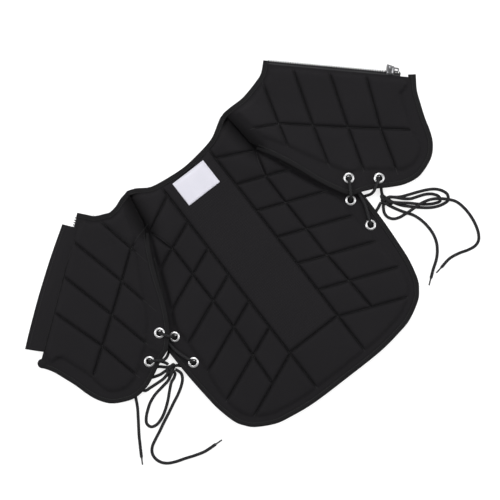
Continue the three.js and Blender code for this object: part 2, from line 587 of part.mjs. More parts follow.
// Side laces. Each laced stretch runs from the bow through the four eyelets and back to the bow.
// Free routes are x, y and height above the ground, chosen along the lace.
const LAY = 2.2;                 // height of a lace that lies on the ground
const CROSS = 6.7;               // height of a lace that lies over another
const LACE_OFF = EYELET_HALF + LACE_RADIUS + LACE_CLEAR;
const BOWS = {
  right: {
    knot: [222, -23],
    toFront: [[225.5, -13.2, 5], [229, -7, 6.4]],
    frontEdge: [[222.5, 0.8, 20.5], [217, -2.4, 20], [212.5, -4, 12.5], [208, -3.6, 5], [203, -1.8, LAY]],
    bar: [[180.3, 11, 17.8], [181.5, 13, 23.8], [184.6, 18, 25.8]],
    underFront: [[195, 14, 12.9], [193, -8, 12.9]],
    toBack: [[201, -31, LAY], [207.5, -28.5, LAY], [212.3, -26, 3.5]],
    loops: {
      a: [
        [232.5, -27.5, 3.4], [245, -36.5, LAY], [259, -42.5, LAY], [274, -48.5, LAY], [287, -54.5, LAY],
        [297, -61, LAY], [304.5, -70, LAY], [307.5, -80, LAY], [302.5, -88, LAY], [292, -88, LAY],
        [281, -84.5, LAY], [270, -78, LAY], [258, -68, LAY], [247, -57.5, LAY], [238, -48, LAY],
        [229.5, -34.5, 3.4],
      ],
      b: [
        [231.5, -26.5, 9.6], [238.5, -33, 8.8], [247, -42, 6.2], [257, -49.5, LAY], [269, -54, LAY],
        [280, -58.5, LAY],
        [289, -65, LAY], [294.5, -74, LAY], [292, -81, LAY], [283, -79, LAY], [272, -72.5, LAY],
        [261, -63.5, LAY], [250, -53, LAY], [240, -45, 6.4], [231.5, -37.5, 9], [226, -32, 10],
      ],
    },
    tails: {
      a: [
        [214.5, -32, 3.4], [209.5, -41, LAY], [209.5, -50, LAY], [215, -58, LAY], [224, -62, 3.2],
        [232, -63, 5.9], [242, -64, CROSS], [254, -64.5, CROSS], [266, -65.5, CROSS], [279, -69, CROSS],
        [291, -76, CROSS], [302, -86, CROSS], [311, -97, 4.4], [315, -110, LAY], [316, -127, LAY],
        [313.5, -146, LAY], [308, -161, LAY], [301, -169.5, LAY], [292, -172.5, LAY], [280, -171, LAY],
        [264, -166, LAY], [247, -163.5, LAY], [229, -166.5, LAY],
      ],
      b: [
        [221.5, -33.3, 3], [225, -42, LAY], [231, -53, LAY], [238, -64, LAY], [244, -73, LAY],
        [248.5, -85, LAY], [251, -100, LAY], [250.5, -116, LAY], [246.5, -130, LAY], [239, -142, LAY],
        [229, -152, LAY], [216, -161, LAY], [205, -169.5, LAY],
      ],
    },
  },
  left: {
    knot: [-213, -28],
    toFront: [[-215, -17.5, 5], [-220, -10, 6.4]],
    frontEdge: [
      [-220.5, -5.5, 20.5], [-215, -9.6, 20], [-210.5, -10.6, 12.5], [-206, -9, 5], [-201.5, -6, LAY],
    ],
    bar: [[-180.2, 10.4, 17.8], [-181.3, 12, 23.8], [-184.4, 16.2, 25.8]],
    underFront: [[-192, 10, 12.9], [-190, -10, 12.9]],
    toBack: [[-199.5, -35, LAY], [-203.5, -31, 3.4]],
    loops: {
      a: [
        [-219.5, -35.5, 3.2], [-229, -41, LAY], [-243, -43.5, LAY], [-259, -46, LAY], [-273, -51, LAY],
        [-284, -58, LAY], [-294, -66.5, LAY], [-299.5, -75, LAY], [-297.5, -83, LAY], [-289, -86, LAY],
        [-276, -83, LAY], [-263, -76, LAY], [-249, -65.5, LAY], [-237, -54.5, LAY], [-227, -46.5, LAY],
        [-219.5, -43.5, LAY], [-214.5, -39.5, LAY],
      ],
      b: [
        [-224, -26.5, 5], [-234, -26, LAY], [-244, -23, LAY], [-255, -18.5, LAY], [-265, -17.5, LAY],
        [-272, -23.5, LAY], [-269.5, -31.5, LAY], [-259, -33, LAY], [-246, -34, LAY], [-234, -34.5, LAY],
        [-223, -32, 4.4],
      ],
    },
    tails: {
      a: [
        [-221.5, -20.5, 4], [-229, -14, LAY], [-240, -10.5, LAY], [-254, -8.5, LAY], [-268, -9, LAY],
        [-279, -14, LAY], [-285.5, -26, LAY], [-294, -43, LAY], [-306, -61, LAY], [-320, -81, LAY],
        [-330, -97, LAY], [-339, -112, LAY],
      ],
      b: [
        [-208.3, -37.2, 4.4], [-206.5, -45, LAY], [-210, -53, LAY], [-218, -60.5, LAY], [-230, -68, LAY],
        [-246, -75.5, LAY], [-263, -84, LAY], [-276, -90, LAY], [-290, -97, LAY], [-304, -103.5, LAY],
        [-315, -109.5, LAY], [-321.5, -117.5, LAY], [-323, -127, LAY], [-320, -137, LAY],
        [-313, -145, LAY], [-301, -151.5, LAY], [-285, -157, LAY], [-269, -163, LAY], [-253, -167.5, LAY],
        [-233, -169, LAY],
      ],
    },
  },
};

// A route that is met at each of its points, so that a section stands on every one.
class Route extends THREE.CatmullRomCurve3 {
  getPointAt(u, target) {
    return this.getPoint(u, target);
  }

  getTangentAt(u, target) {
    return this.getTangent(u, target);
  }
}

function laceTube(points) {
  const route = new Route(points, false, 'centripetal');
  const corners = Array.from({ length: LACE_SIDES }, (unused, i) => {
    const angle = (2 * Math.PI * i) / LACE_SIDES;
    return new THREE.Vector2(LACE_RADIUS * Math.cos(angle), LACE_RADIUS * Math.sin(angle));
  });
  const options = { steps: points.length - 1, extrudePath: route, bevelEnabled: false };
  return bare(new THREE.ExtrudeGeometry(new THREE.Shape(corners), options));
}

const vec3 = ([x, y, z]) => new THREE.Vector3(x, y, z);

// The end of a strand at a knot, on the line from its route's end point to the knot's middle. A strand that
// comes in at a slant stays further out, so that its rim is clear of the knot.
function onKnot(knot, point, next) {
  const middle = new THREE.Vector3(...knot, KNOT.z);
  const out = vec3(point).sub(middle);
  const radii = new THREE.Vector3(KNOT.long, KNOT.wide, KNOT.high);
  const seat = middle.addScaledVector(out, 1 / out.clone().divide(radii).length());
  const normal = out.divide(radii).divide(radii).normalize();
  const along = vec3(next).sub(seat).normalize();
  const slant = along.clone().cross(normal).length();
  return seat.addScaledVector(along, GAP + LACE_RADIUS * slant);
}

// The lace's way through an eyelet, from the side of one point to the far side towards another.
const EYELET_PASS = table('out up', [
  [7.5, LACE_OFF], [4.4, LACE_OFF], [2.7, LACE_OFF - 0.5], [1.7, EYELET_HALF], [0, 0],
]);
function throughEyelet(name, from, to, rise, last = EYELET_PASS.length) {
  const { p, z } = PLACES.find((place) => place.name === name);
  const leg = (end, up) => {
    const d = new THREE.Vector2(end[0], end[1]).sub(p).normalize();
    return EYELET_PASS.map((row) => (
      new THREE.Vector3(p.x + d.x * row.out, p.y + d.y * row.out, z + up * row.up)));
  };
  return [...leg(from, -rise), ...leg(to, rise).reverse().slice(1, last)];
}

function lacingRoute(side) {
  const bow = BOWS[side];
  const names = Object.fromEntries(['front', 'back'].flatMap((panel) => ['upper', 'lower'].map((level) => (
    [`${panel}_${level}`, `eyelet_${panel}_${side}_${level}`]))));
  return [
    onKnot(bow.knot, ...bow.toFront),
    vec3(bow.toFront[1]),
    ...throughEyelet(names.front_lower, bow.toFront[1], bow.frontEdge[0], 1),
    ...bow.frontEdge.map(vec3),
    ...throughEyelet(names.back_upper, bow.frontEdge.at(-1), bow.bar[0], 1, 3),
    ...bow.bar.map(vec3),
    ...throughEyelet(names.front_upper, bow.bar.at(-1), bow.underFront[0], -1),
    ...bow.underFront.map(vec3),
    ...throughEyelet(names.back_lower, bow.underFront[1], bow.toBack[0], -1),
    ...bow.toBack.slice(0, -1).map(vec3),
    onKnot(bow.knot, bow.toBack.at(-1), bow.toBack.at(-2)),
  ];
}

// A tip past the end of a tail, in line with its last stretch
function tipMesh(name, points) {
  const [before, end] = points.slice(-2).map(vec3);
  const d = end.clone().sub(before).normalize();
  const { radius, length, taper } = TIP;
  const geometry = bare(new THREE.CylinderGeometry(radius, radius * taper, length, LACE_SIDES));
  const mesh = add(name, geometry, 'binding');
  mesh.quaternion.setFromUnitVectors(new THREE.Vector3(0, -1, 0), d);
  mesh.position.copy(end).addScaledVector(d, length / 2 + GAP);
  mesh.position.z = radius + GAP;
}

for (const [side, bow] of Object.entries(BOWS)) {
  add(`lacing_${side}`, laceTube(lacingRoute(side)), 'lace');
  const knot = add(`lace_knot_${side}`, bare(new THREE.IcosahedronGeometry(1, 1)), 'lace');
  knot.scale.set(KNOT.long, KNOT.wide, KNOT.high);
  knot.position.set(...bow.knot, KNOT.z);
  for (const [key, points] of Object.entries(bow.loops)) {
    const start = onKnot(bow.knot, points[0], points[1]);
    const end = onKnot(bow.knot, points.at(-1), points.at(-2));
    const route = [start, ...points.slice(1, -1).map(vec3), end];
    add(`lace_loop_${side}_${key}`, laceTube(route), 'lace');
  }
  for (const [key, points] of Object.entries(bow.tails)) {
    const route = [onKnot(bow.knot, points[0], points[1]), ...points.slice(1).map(vec3)];
    add(`lace_tail_${side}_${key}`, laceTube(route), 'lace');
    tipMesh(`lace_tip_${side}_${key}`, points);
  }
}

export default vest;
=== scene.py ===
"""Looks of a child's quilted riding vest that lies open on the floor with its lining up.

Metres, +Z up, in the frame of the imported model. The origin is on the floor under the middle of the back
panel and +Y runs to the neck. The fronts are swung out to the sides, and each one laps over the back at
its armhole.
"""

import logging
import math
from dataclasses import dataclass, field
from enum import Enum
from typing import Callable, Iterable, Optional, Sequence

import bmesh
import bpy
import numpy as np
from mathutils import Matrix, Vector


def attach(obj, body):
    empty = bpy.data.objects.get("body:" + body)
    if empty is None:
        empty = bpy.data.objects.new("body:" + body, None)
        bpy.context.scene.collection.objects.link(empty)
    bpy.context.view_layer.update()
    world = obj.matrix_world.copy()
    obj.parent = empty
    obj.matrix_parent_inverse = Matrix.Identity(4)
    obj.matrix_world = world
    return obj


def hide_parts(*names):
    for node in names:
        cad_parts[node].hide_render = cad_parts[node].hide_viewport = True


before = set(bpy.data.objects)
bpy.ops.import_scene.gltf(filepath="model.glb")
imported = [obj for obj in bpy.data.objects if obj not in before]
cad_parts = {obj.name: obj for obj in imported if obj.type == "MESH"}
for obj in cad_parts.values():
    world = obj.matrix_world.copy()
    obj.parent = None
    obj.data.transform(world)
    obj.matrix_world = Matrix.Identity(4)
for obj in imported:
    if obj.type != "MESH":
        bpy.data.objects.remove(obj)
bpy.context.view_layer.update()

LOG = logging.getLogger("vest")

# Layers of a panel
FOAM = 0.015                 # thickness of the quilted foam
MARGIN = 0.0036              # thickness of the flat sewn border
MID = FOAM / 2               # height of a panel's middle layer where it lies flat
GAP = 0.0003

# Edges of the pattern: x, y and the width of the sewn border
NECK_RIGHT = (
    (0.2031, 0.2687, 0.012), (0.1899, 0.2567, 0.012), (0.1779, 0.2518, 0.012), (0.1525, 0.2451, 0.012),
    (0.1358, 0.2419, 0.012), (0.1153, 0.2416, 0.012), (0.1038, 0.2424, 0.012),
)
NECK_BACK = (
    (0.1153, 0.2416, 0.012), (0.1038, 0.2424, 0.012), (0.0939, 0.24, 0.012), (0.0822, 0.2329, 0.012),
    (0.0706, 0.2257, 0.011), (0.0587, 0.2208, 0.01), (0.035, 0.2167, 0.009), (0.0, 0.2134, 0.009),
    (-0.036, 0.2163, 0.009), (-0.061, 0.2205, 0.01), (-0.0722, 0.227, 0.011), (-0.0827, 0.2342, 0.012),
    (-0.0953, 0.2389, 0.012), (-0.1085, 0.235, 0.012),
)
NECK_LEFT = (
    (-0.0953, 0.2389, 0.012), (-0.1085, 0.235, 0.012), (-0.1236, 0.2286, 0.012), (-0.1383, 0.2278, 0.012),
    (-0.1456, 0.2314, 0.012), (-0.1603, 0.2387, 0.012), (-0.1681, 0.2469, 0.012), (-0.1776, 0.2582, 0.012),
)
BACK_ARMHOLE = (
    (0.1175, 0.163, 0.01), (0.141, 0.112, 0.012), (0.166, 0.061, 0.016), (0.187, 0.034, 0.026),
    (0.199, 0.014, 0.034),
)
BACK_SIDE = (
    (0.199, 0.014, 0.034), (0.2005, 0.0, 0.034), (0.1999, -0.049, 0.032), (0.197, -0.097, 0.023),
    (0.1938, -0.127, 0.019), (0.186, -0.158, 0.018), (0.177, -0.173, 0.018), (0.165, -0.1855, 0.018),
    (0.1365, -0.201, 0.018), (0.1116, -0.207, 0.018), (0.0667, -0.2127, 0.018), (0.0, -0.2135, 0.018),
)
# Hem and side of a front: along the zip from the neck, across it from the teeth, width of the border
FRONT_HEM = (
    (0.246, 0.0, 0.025), (0.2495, 0.022, 0.027), (0.257, 0.042, 0.027), (0.266, 0.064, 0.027),
    (0.276, 0.084, 0.026), (0.2826, 0.103, 0.022), (0.283, 0.124, 0.02), (0.276, 0.143, 0.02),
    (0.264, 0.161, 0.022), (0.244, 0.174, 0.024), (0.221, 0.181, 0.028), (0.197, 0.186, 0.032),
    (0.1767, 0.1927, 0.036),
)
HEM_DROP_REACH = 0.1         # a front's hem hangs lower from here to the zip, by the drop of its side
FRONT_ARMHOLE = (
    (0.182, 0.015, 0.036), (0.168, 0.036, 0.034), (0.154, 0.065, 0.031), (0.134, 0.115, 0.025),
    (0.109, 0.165, 0.02),
)
# Raised edge of a front: x, y, lift, puff just inside the edge, reach over which the front comes down
FRONT_RIDGE = (
    (0.099, 0.241, 0.0182, 0.5, 0.072), (0.109, 0.165, 0.0205, 0.45, 0.098),
    (0.134, 0.115, 0.0175, 0.2, 0.105), (0.154, 0.065, 0.0145, 0.1, 0.105),
    (0.183, 0.016, 0.012, 0.0, 0.105), (0.202, 0.005, 0.0115, 0.0, 0.105),
    (0.222, -0.003, 0.007, 0.0, 0.09), (0.241, -0.014, 0.003, 0.0, 0.08),
    (0.262, -0.026, 0.0, 0.0, 0.08),
)
PUFF_WIDTH = 0.056
SEAM_FOOT = (0.109, 0.165)   # lower end of the shoulder seam
SEAM_LIFT = 0.014
SEAM_REACH = 0.07
NECK_RAMP = (0.014, 0.004)   # the neck's edge climbs from before the shoulder seam to past it
VALLEY_DEPTH = 0.0165        # the shoulder seams lie in a valley between the back and the fronts
VALLEY_BACK = 0.019          # its width on the back
VALLEY_FRONT = 0.012         # its width on a front

# Quilting of the back
SPINE_HALF = 0.0485
SPINE_FOOT = -0.125
SPINE_SEAM = (0.2133, -0.198)
CROSS_TOP = 0.1933
CROSS_PITCH = 0.0533
CROSS_ENDS = (               # x of a cross seam's outer end and its slope
    (0.107, -0.5), (0.15, -0.4), (0.162, -0.4), (0.168, -0.4), (0.173, -0.4), (0.178, -0.4), (0.158, -0.41),
)
BACK_MID_SEAM = ((0.107, 0.163), (0.094, 0.118), (0.094, -0.03), (0.1, -0.145))
# Quilting of a front, along and across
FRONT_MID_SEAM = ((-0.012, 0.112), (0.036, 0.097), (0.116, 0.0935), (0.243, 0.087))
FRONT_CROSS_SEAMS = (
    ((-0.004, 0.02), (0.032, 0.094), (0.052, 0.134)),
    ((0.048, 0.005), (0.087, 0.091), (0.121, 0.16)),
    ((0.106, 0.005), (0.145, 0.092), (0.177, 0.162)),
    ((0.1655, 0.006), (0.1965, 0.088), (0.232, 0.161)),
)
FRONT_EYELETS = {"upper": (0.153, 0.173), "lower": (0.2016, 0.1684)}
BACK_EYELETS = {"upper": (0.1785, 0.008), "lower": (0.1795, -0.043)}
EYELET_FLAT = (0.012, 0.022)  # a front stays level round an eyelet

# Laces: heights of a lace on the floor and of one that lies over another
LAY = 0.0027
OVER = 0.0077
ROUTE_SAMPLES = 24           # places worked out between two points of a lace's route

WHITE = (1, 1, 1, 1)

Points = np.ndarray
Pair = tuple[float, float]
Triple = tuple[float, float, float]
Table = tuple[Pair, ...]
Route = tuple[Triple, ...]
Lift = Callable[[Points], np.ndarray]


class Side(Enum):
    """The two fronts, named for the sign of X where they lie."""

    RIGHT = "right"
    LEFT = "left"


class Slot(Enum):
    """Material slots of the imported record."""

    QUILT = "quilted_fabric"
    BINDING = "binding_tape"
    LABEL = "label_cloth"
    EYELET = "eyelet_metal"
    ZIP_TAPE = "zip_tape"
    ZIP_TEETH = "zip_teeth"
    ZIP_METAL = "zip_metal"
    LACE = "lace_cord"
    TIP = "lace_tip"


class Body(Enum):
    """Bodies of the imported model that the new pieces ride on."""

    VEST = "vest"
    SLIDER = "slider"


def smooth(value: np.ndarray, low: float, high: float) -> np.ndarray:
    """Smooth step from 0 at low to 1 at high.

    Args:
        value: Values to map.
        low: Value where the step starts.
        high: Value where it ends.

    Returns:
        The step at each value.
    """
    t = np.clip((value - low) / (high - low), 0, 1)
    return t * t * (3 - 2 * t)


def quarter(value: np.ndarray) -> np.ndarray:
    """Quarter circle that rises from 0 to 1 as the value goes from 0 to 1."""
    return np.sqrt(1 - (1 - np.clip(value, 0, 1)) ** 2)


def nearest(points: Points, line: Points, closed: bool = False) -> tuple[np.ndarray, np.ndarray, np.ndarray]:
    """Finds the nearest place on a line for many points at once.

    Args:
        points: Points to measure, one row of x and y each.
        line: Corners of the line.
        closed: Whether the last corner joins the first.

    Returns:
        Distance, number of the nearest stretch and share along that stretch, for each point.
    """
    ends = np.roll(line, -1, axis=0) if closed else line[1:]
    distance = np.full(len(points), np.inf)
    index = np.zeros(len(points), int)
    share = np.zeros(len(points))
    for i, end in enumerate(ends):
        run = end - line[i]
        t = np.clip(((points - line[i]) @ run) / max(run @ run, 1e-12), 0, 1)
        d = np.linalg.norm(points - line[i] - t[:, None] * run, axis=1)
        near = d < distance
        distance[near] = d[near]
        index[near] = i
        share[near] = t[near]
    return distance, index, share


def run_of(line: Points) -> np.ndarray:
    """Way along a line from its first point to each of its points."""
    return np.concatenate([[0], np.cumsum(np.linalg.norm(np.diff(line, axis=0), axis=1))])


def spline(rows: Sequence[Sequence[float]], step: float) -> Points:
    """Points along a smooth line through rows; columns after x and y run straight between rows.

    Args:
        rows: Rows of x, y and any further columns.
        step: Spacing of the points.

    Returns:
        The points, with the rows' columns.
    """
    table = np.array(rows, float)
    last = len(table) - 1
    pieces = []
    for i in range(last):
        before, a, b, after = table[max(i - 1, 0)], table[i], table[i + 1], table[min(i + 2, last)]
        count = max(1, round(float(np.linalg.norm(b[:2] - a[:2])) / step))
        t = (np.arange(count) / count)[:, None]
        leave, arrive = (b - before) / 2, (after - a) / 2
        cubic = 2 * a - 2 * b + leave + arrive
        square = 3 * b - 3 * a - 2 * leave - arrive
        curve = cubic * t**3 + square * t**2 + leave * t + a
        curve[:, 2:] = a[2:] + (b - a)[2:] * t
        pieces.append(curve)
    return np.concatenate([*pieces, table[-1:]])


def route_line(points: Sequence[Sequence[float]], step: float) -> Points:
    """Evenly spaced points on a smooth curve through a route's points, which keeps clear of overshoot.

    Args:
        points: Points of the route.
        step: Spacing of the points on the curve.

    Returns:
        The points on the curve.
    """
    knots = np.array(points, float)
    knots = np.concatenate([2 * knots[:1] - knots[1:2], knots, 2 * knots[-1:] - knots[-2:-1]])
    dense = []
    for p0, p1, p2, p3 in zip(knots, knots[1:], knots[2:], knots[3:]):
        t1 = math.sqrt(np.linalg.norm(p1 - p0)) + 1e-9
        t2 = t1 + math.sqrt(np.linalg.norm(p2 - p1)) + 1e-9
        t3 = t2 + math.sqrt(np.linalg.norm(p3 - p2)) + 1e-9
        t = np.linspace(t1, t2, ROUTE_SAMPLES, endpoint=False)[:, None]
        a1 = (t1 - t) / t1 * p0 + t / t1 * p1
        a2 = (t2 - t) / (t2 - t1) * p1 + (t - t1) / (t2 - t1) * p2
        a3 = (t3 - t) / (t3 - t2) * p2 + (t - t2) / (t3 - t2) * p3
        b1 = (t2 - t) / t2 * a1 + t / t2 * a2
        b2 = (t3 - t) / (t3 - t1) * a2 + (t - t1) / (t3 - t1) * a3
        dense.append((t2 - t) / (t2 - t1) * b1 + (t - t1) / (t2 - t1) * b2)
    curve = np.concatenate([*dense, knots[-2:-1]])
    run = run_of(curve)
    count = max(3, round(run[-1] / step) + 1)
    even = np.linspace(0, run[-1], count)
    return np.stack([np.interp(even, run, curve[:, k]) for k in range(3)], axis=1)


def lengthen(line: Points, before: float, after: float) -> Points:
    """Carries a line straight on past its ends.

    Args:
        line: Points of the line.
        before: Distance before its first point.
        after: Distance past its last point.

    Returns:
        The points, with those added.
    """
    def beyond(end: np.ndarray, inner: np.ndarray, way: float) -> list[np.ndarray]:
        """Point past an end, if there is any way to go."""
        return [end + (end - inner) * way / np.linalg.norm(end - inner)] if way else []

    return np.array([*beyond(line[0], line[1], before), *line, *beyond(line[-1], line[-2], after)])


@dataclass(frozen=True)
class ZipLine:
    """Frame of one front: the top of its zip and the zip's direction from neck to hem."""

    side: Side
    sign: float
    top: Pair
    turn: float
    hem_drop: float               # the hem hangs this much lower at the zip
    zip_bound: float              # distance from the zip's line to the cloth's edge
    zip_border: float             # distance from that line to the foam

    def point(self, along: float, across: float) -> np.ndarray:
        """Place at a distance along the zip and across it.

        Args:
            along: Distance from the top of the zip.
            across: Distance from the teeth towards the armhole.

        Returns:
            X and Y.
        """
        angle = math.radians(self.turn)
        dx, dy = math.cos(angle), math.sin(angle)
        inward = self.sign * across
        return np.array([self.top[0] + along * dx + inward * dy, self.top[1] + along * dy - inward * dx])

    def points(self, rows: Iterable[Sequence[float]]) -> Points:
        """Places of rows of along and across, with further columns kept."""
        return np.array([[*self.point(row[0], row[1]), *row[2:]] for row in rows])

    def hem(self) -> Points:
        """Places of the rows of the front's hem and side.

        Returns:
            Rows of x, y and border.
        """
        rows = np.array(FRONT_HEM)
        rows[:, 0] += self.hem_drop * np.maximum(0, 1 - rows[:, 1] / HEM_DROP_REACH)
        return self.points(rows)


ZIP_LINES = {
    Side.RIGHT: ZipLine(Side.RIGHT, 1.0, (0.2031, 0.2687), -43.03, 0.0, 0.0026, 0.0075),
    Side.LEFT: ZipLine(Side.LEFT, -1.0, (-0.1776, 0.2582), -142.19, 0.009, 0.0, 0.0025),
}


class Lay:
    """Heights of the panels' middle layers above the flat lay."""

    @staticmethod
    def valley(points: Points, width: float) -> np.ndarray:
        """Dip of the shoulder seams.

        Args:
            points: Points of x and y.
            width: Distance from a seam over which a panel comes up.

        Returns:
            Dip at each point.
        """
        mirrored = np.abs(points * (1, 0)) + points * (0, 1)
        distance = nearest(mirrored, np.array([FRONT_RIDGE[0][:2], SEAM_FOOT]))[0]
        return VALLEY_DEPTH * np.exp(-(distance / width) ** 2)

    @staticmethod
    def back(points: Points) -> np.ndarray:
        """Lift of the back, which comes up to the shoulder seams.

        Args:
            points: Points of x and y.

        Returns:
            Lift at each point.
        """
        distance = np.full(len(points), np.inf)
        for sign in (1, -1):
            neck = np.array([sign * FRONT_RIDGE[0][0], FRONT_RIDGE[0][1]])
            foot = np.array([sign * SEAM_FOOT[0], SEAM_FOOT[1]])
            share = (neck[1] - points[:, 1]) / (neck[1] - foot[1])
            past = (points[:, 0] - neck[0] - (foot[0] - neck[0]) * share) * sign
            beyond = (past > 0) & (points[:, 1] > foot[1])
            near = np.where(beyond, 0, nearest(points, np.array([neck, foot]))[0])
            distance = np.minimum(distance, near)
        return SEAM_LIFT * (1 - smooth(distance, 0, SEAM_REACH)) - Lay.valley(points, VALLEY_BACK)

    @staticmethod
    def ridge(points: Points, sign: float) -> np.ndarray:
        """Lift of a front without its level places, highest along its raised edge.

        Args:
            points: Points of x and y.
            sign: Sign of X where the front lies.

        Returns:
            Lift at each point.
        """
        rows = np.array(FRONT_RIDGE)
        distance, index, share = nearest(points, rows[:, :2] * (sign, 1))
        low, high = rows[index], rows[index + 1]
        lift, puff, reach = (low[:, k] + (high[:, k] - low[:, k]) * share for k in (2, 3, 4))
        near = np.minimum(distance / PUFF_WIDTH, 1)
        swell = 1 + puff * 4 * near * (1 - near)
        return lift * (1 - smooth(distance / reach, 0, 1)) * swell - Lay.valley(points, VALLEY_FRONT)

    @staticmethod
    def front(line: ZipLine) -> Lift:
        """Lift of a front.

        Args:
            line: The front's frame.

        Returns:
            Function from points to lifts.
        """
        def lift(points: Points) -> np.ndarray:
            """Lift of the front, level round the eyelets.

            Args:
                points: Points of x and y.

            Returns:
                Lift at each point.
            """
            height = Lay.ridge(points, line.sign)
            for spot in FRONT_EYELETS.values():
                seat = line.point(*spot)
                away = smooth(np.linalg.norm(points - seat, axis=1), *EYELET_FLAT)
                level = Lay.ridge(seat[None], line.sign)[0]
                height = level + (height - level) * away
            return height
        return lift

    @staticmethod
    def neck(points: Points) -> np.ndarray:
        """Lift of the neck's edge, which climbs from the back to the fronts at the shoulder seams.

        Args:
            points: Points of x and y.

        Returns:
            Lift at each point.
        """
        seam = FRONT_RIDGE[0][0]
        past = smooth(np.abs(points[:, 0]), seam - NECK_RAMP[0], seam + NECK_RAMP[1])
        fronts = {side: Lay.front(line)(points) for side, line in ZIP_LINES.items()}
        front = np.where(points[:, 0] > 0, fronts[Side.RIGHT], fronts[Side.LEFT])
        back = Lay.back(points)
        return back + (front - back) * past


@dataclass
class EdgeLine:
    """A stretch of a pattern's edge: its points, border widths and allowances for what is sewn on outside."""

    xy: Points
    border: np.ndarray
    bound: np.ndarray

    BOUND = 0.0055                # allowance for a bound edge
    STEP = 0.006                  # spacing of the points
    STRAIGHT = 0.08               # sine of the turn below which a corner counts as straight

    @classmethod
    def through(cls, rows: Sequence[Sequence[float]], last_bound: float = BOUND) -> "EdgeLine":
        """Smooth edge through rows of x, y and border.

        Args:
            rows: The rows.
            last_bound: Allowance of the edge that starts at the last point.

        Returns:
            The edge.
        """
        table = spline(rows, cls.STEP)
        bound = np.full(len(table), cls.BOUND)
        bound[-1] = last_bound
        return cls(table[:, :2], table[:, 2], bound)

    def then(self, other: "EdgeLine") -> "EdgeLine":
        """This edge with another on from its last point, which the other one gives."""
        return EdgeLine(self.xy[:-1], self.border[:-1], self.bound[:-1]).beside(other)

    def beside(self, other: "EdgeLine") -> "EdgeLine":
        """This edge, a straight stretch, and another edge."""
        return EdgeLine(
            np.concatenate([self.xy, other.xy]),
            np.concatenate([self.border, other.border]),
            np.concatenate([self.bound, other.bound]),
        )

    def turn_sign(self) -> float:
        """+1 for a loop that runs to the left."""
        x, y = self.xy.T
        return float(np.sign(np.sum(x * np.roll(y, -1) - np.roll(x, -1) * y)))

    def cut_line(self) -> Points:
        """Corners of the panel inside its allowances, for a closed loop.

        Returns:
            The corners, without those that a tight turn folds over.
        """
        ahead = np.roll(self.xy, -1, axis=0) - self.xy
        ahead /= np.linalg.norm(ahead, axis=1)[:, None]
        normal = np.stack([-ahead[:, 1], ahead[:, 0]], axis=1) * self.turn_sign()
        corners = []
        for i, place in enumerate(self.xy):
            n0, n1, d0, d1 = normal[i - 1], normal[i], self.bound[i - 1], self.bound[i]
            cross = n0[0] * n1[1] - n0[1] * n1[0]
            if abs(cross) < self.STRAIGHT:
                middle = n0 + n1
                corner = place + middle / np.linalg.norm(middle) * (d0 + d1) / 2
            else:
                corner = place + np.array([d0 * n1[1] - d1 * n0[1], d1 * n0[0] - d0 * n1[0]]) / cross
            corners.append(corner)
        kept = []
        ends = np.roll(self.xy, -1, axis=0)
        for corner in corners:
            run = ends - self.xy
            t = np.clip(np.sum((corner - self.xy) * run, axis=1) / np.sum(run * run, axis=1), 0, 1)
            clear = np.linalg.norm(corner - self.xy - run * t[:, None], axis=1) - self.bound
            if clear.min() > -GAP:
                kept.append(corner)
        return np.array(kept)


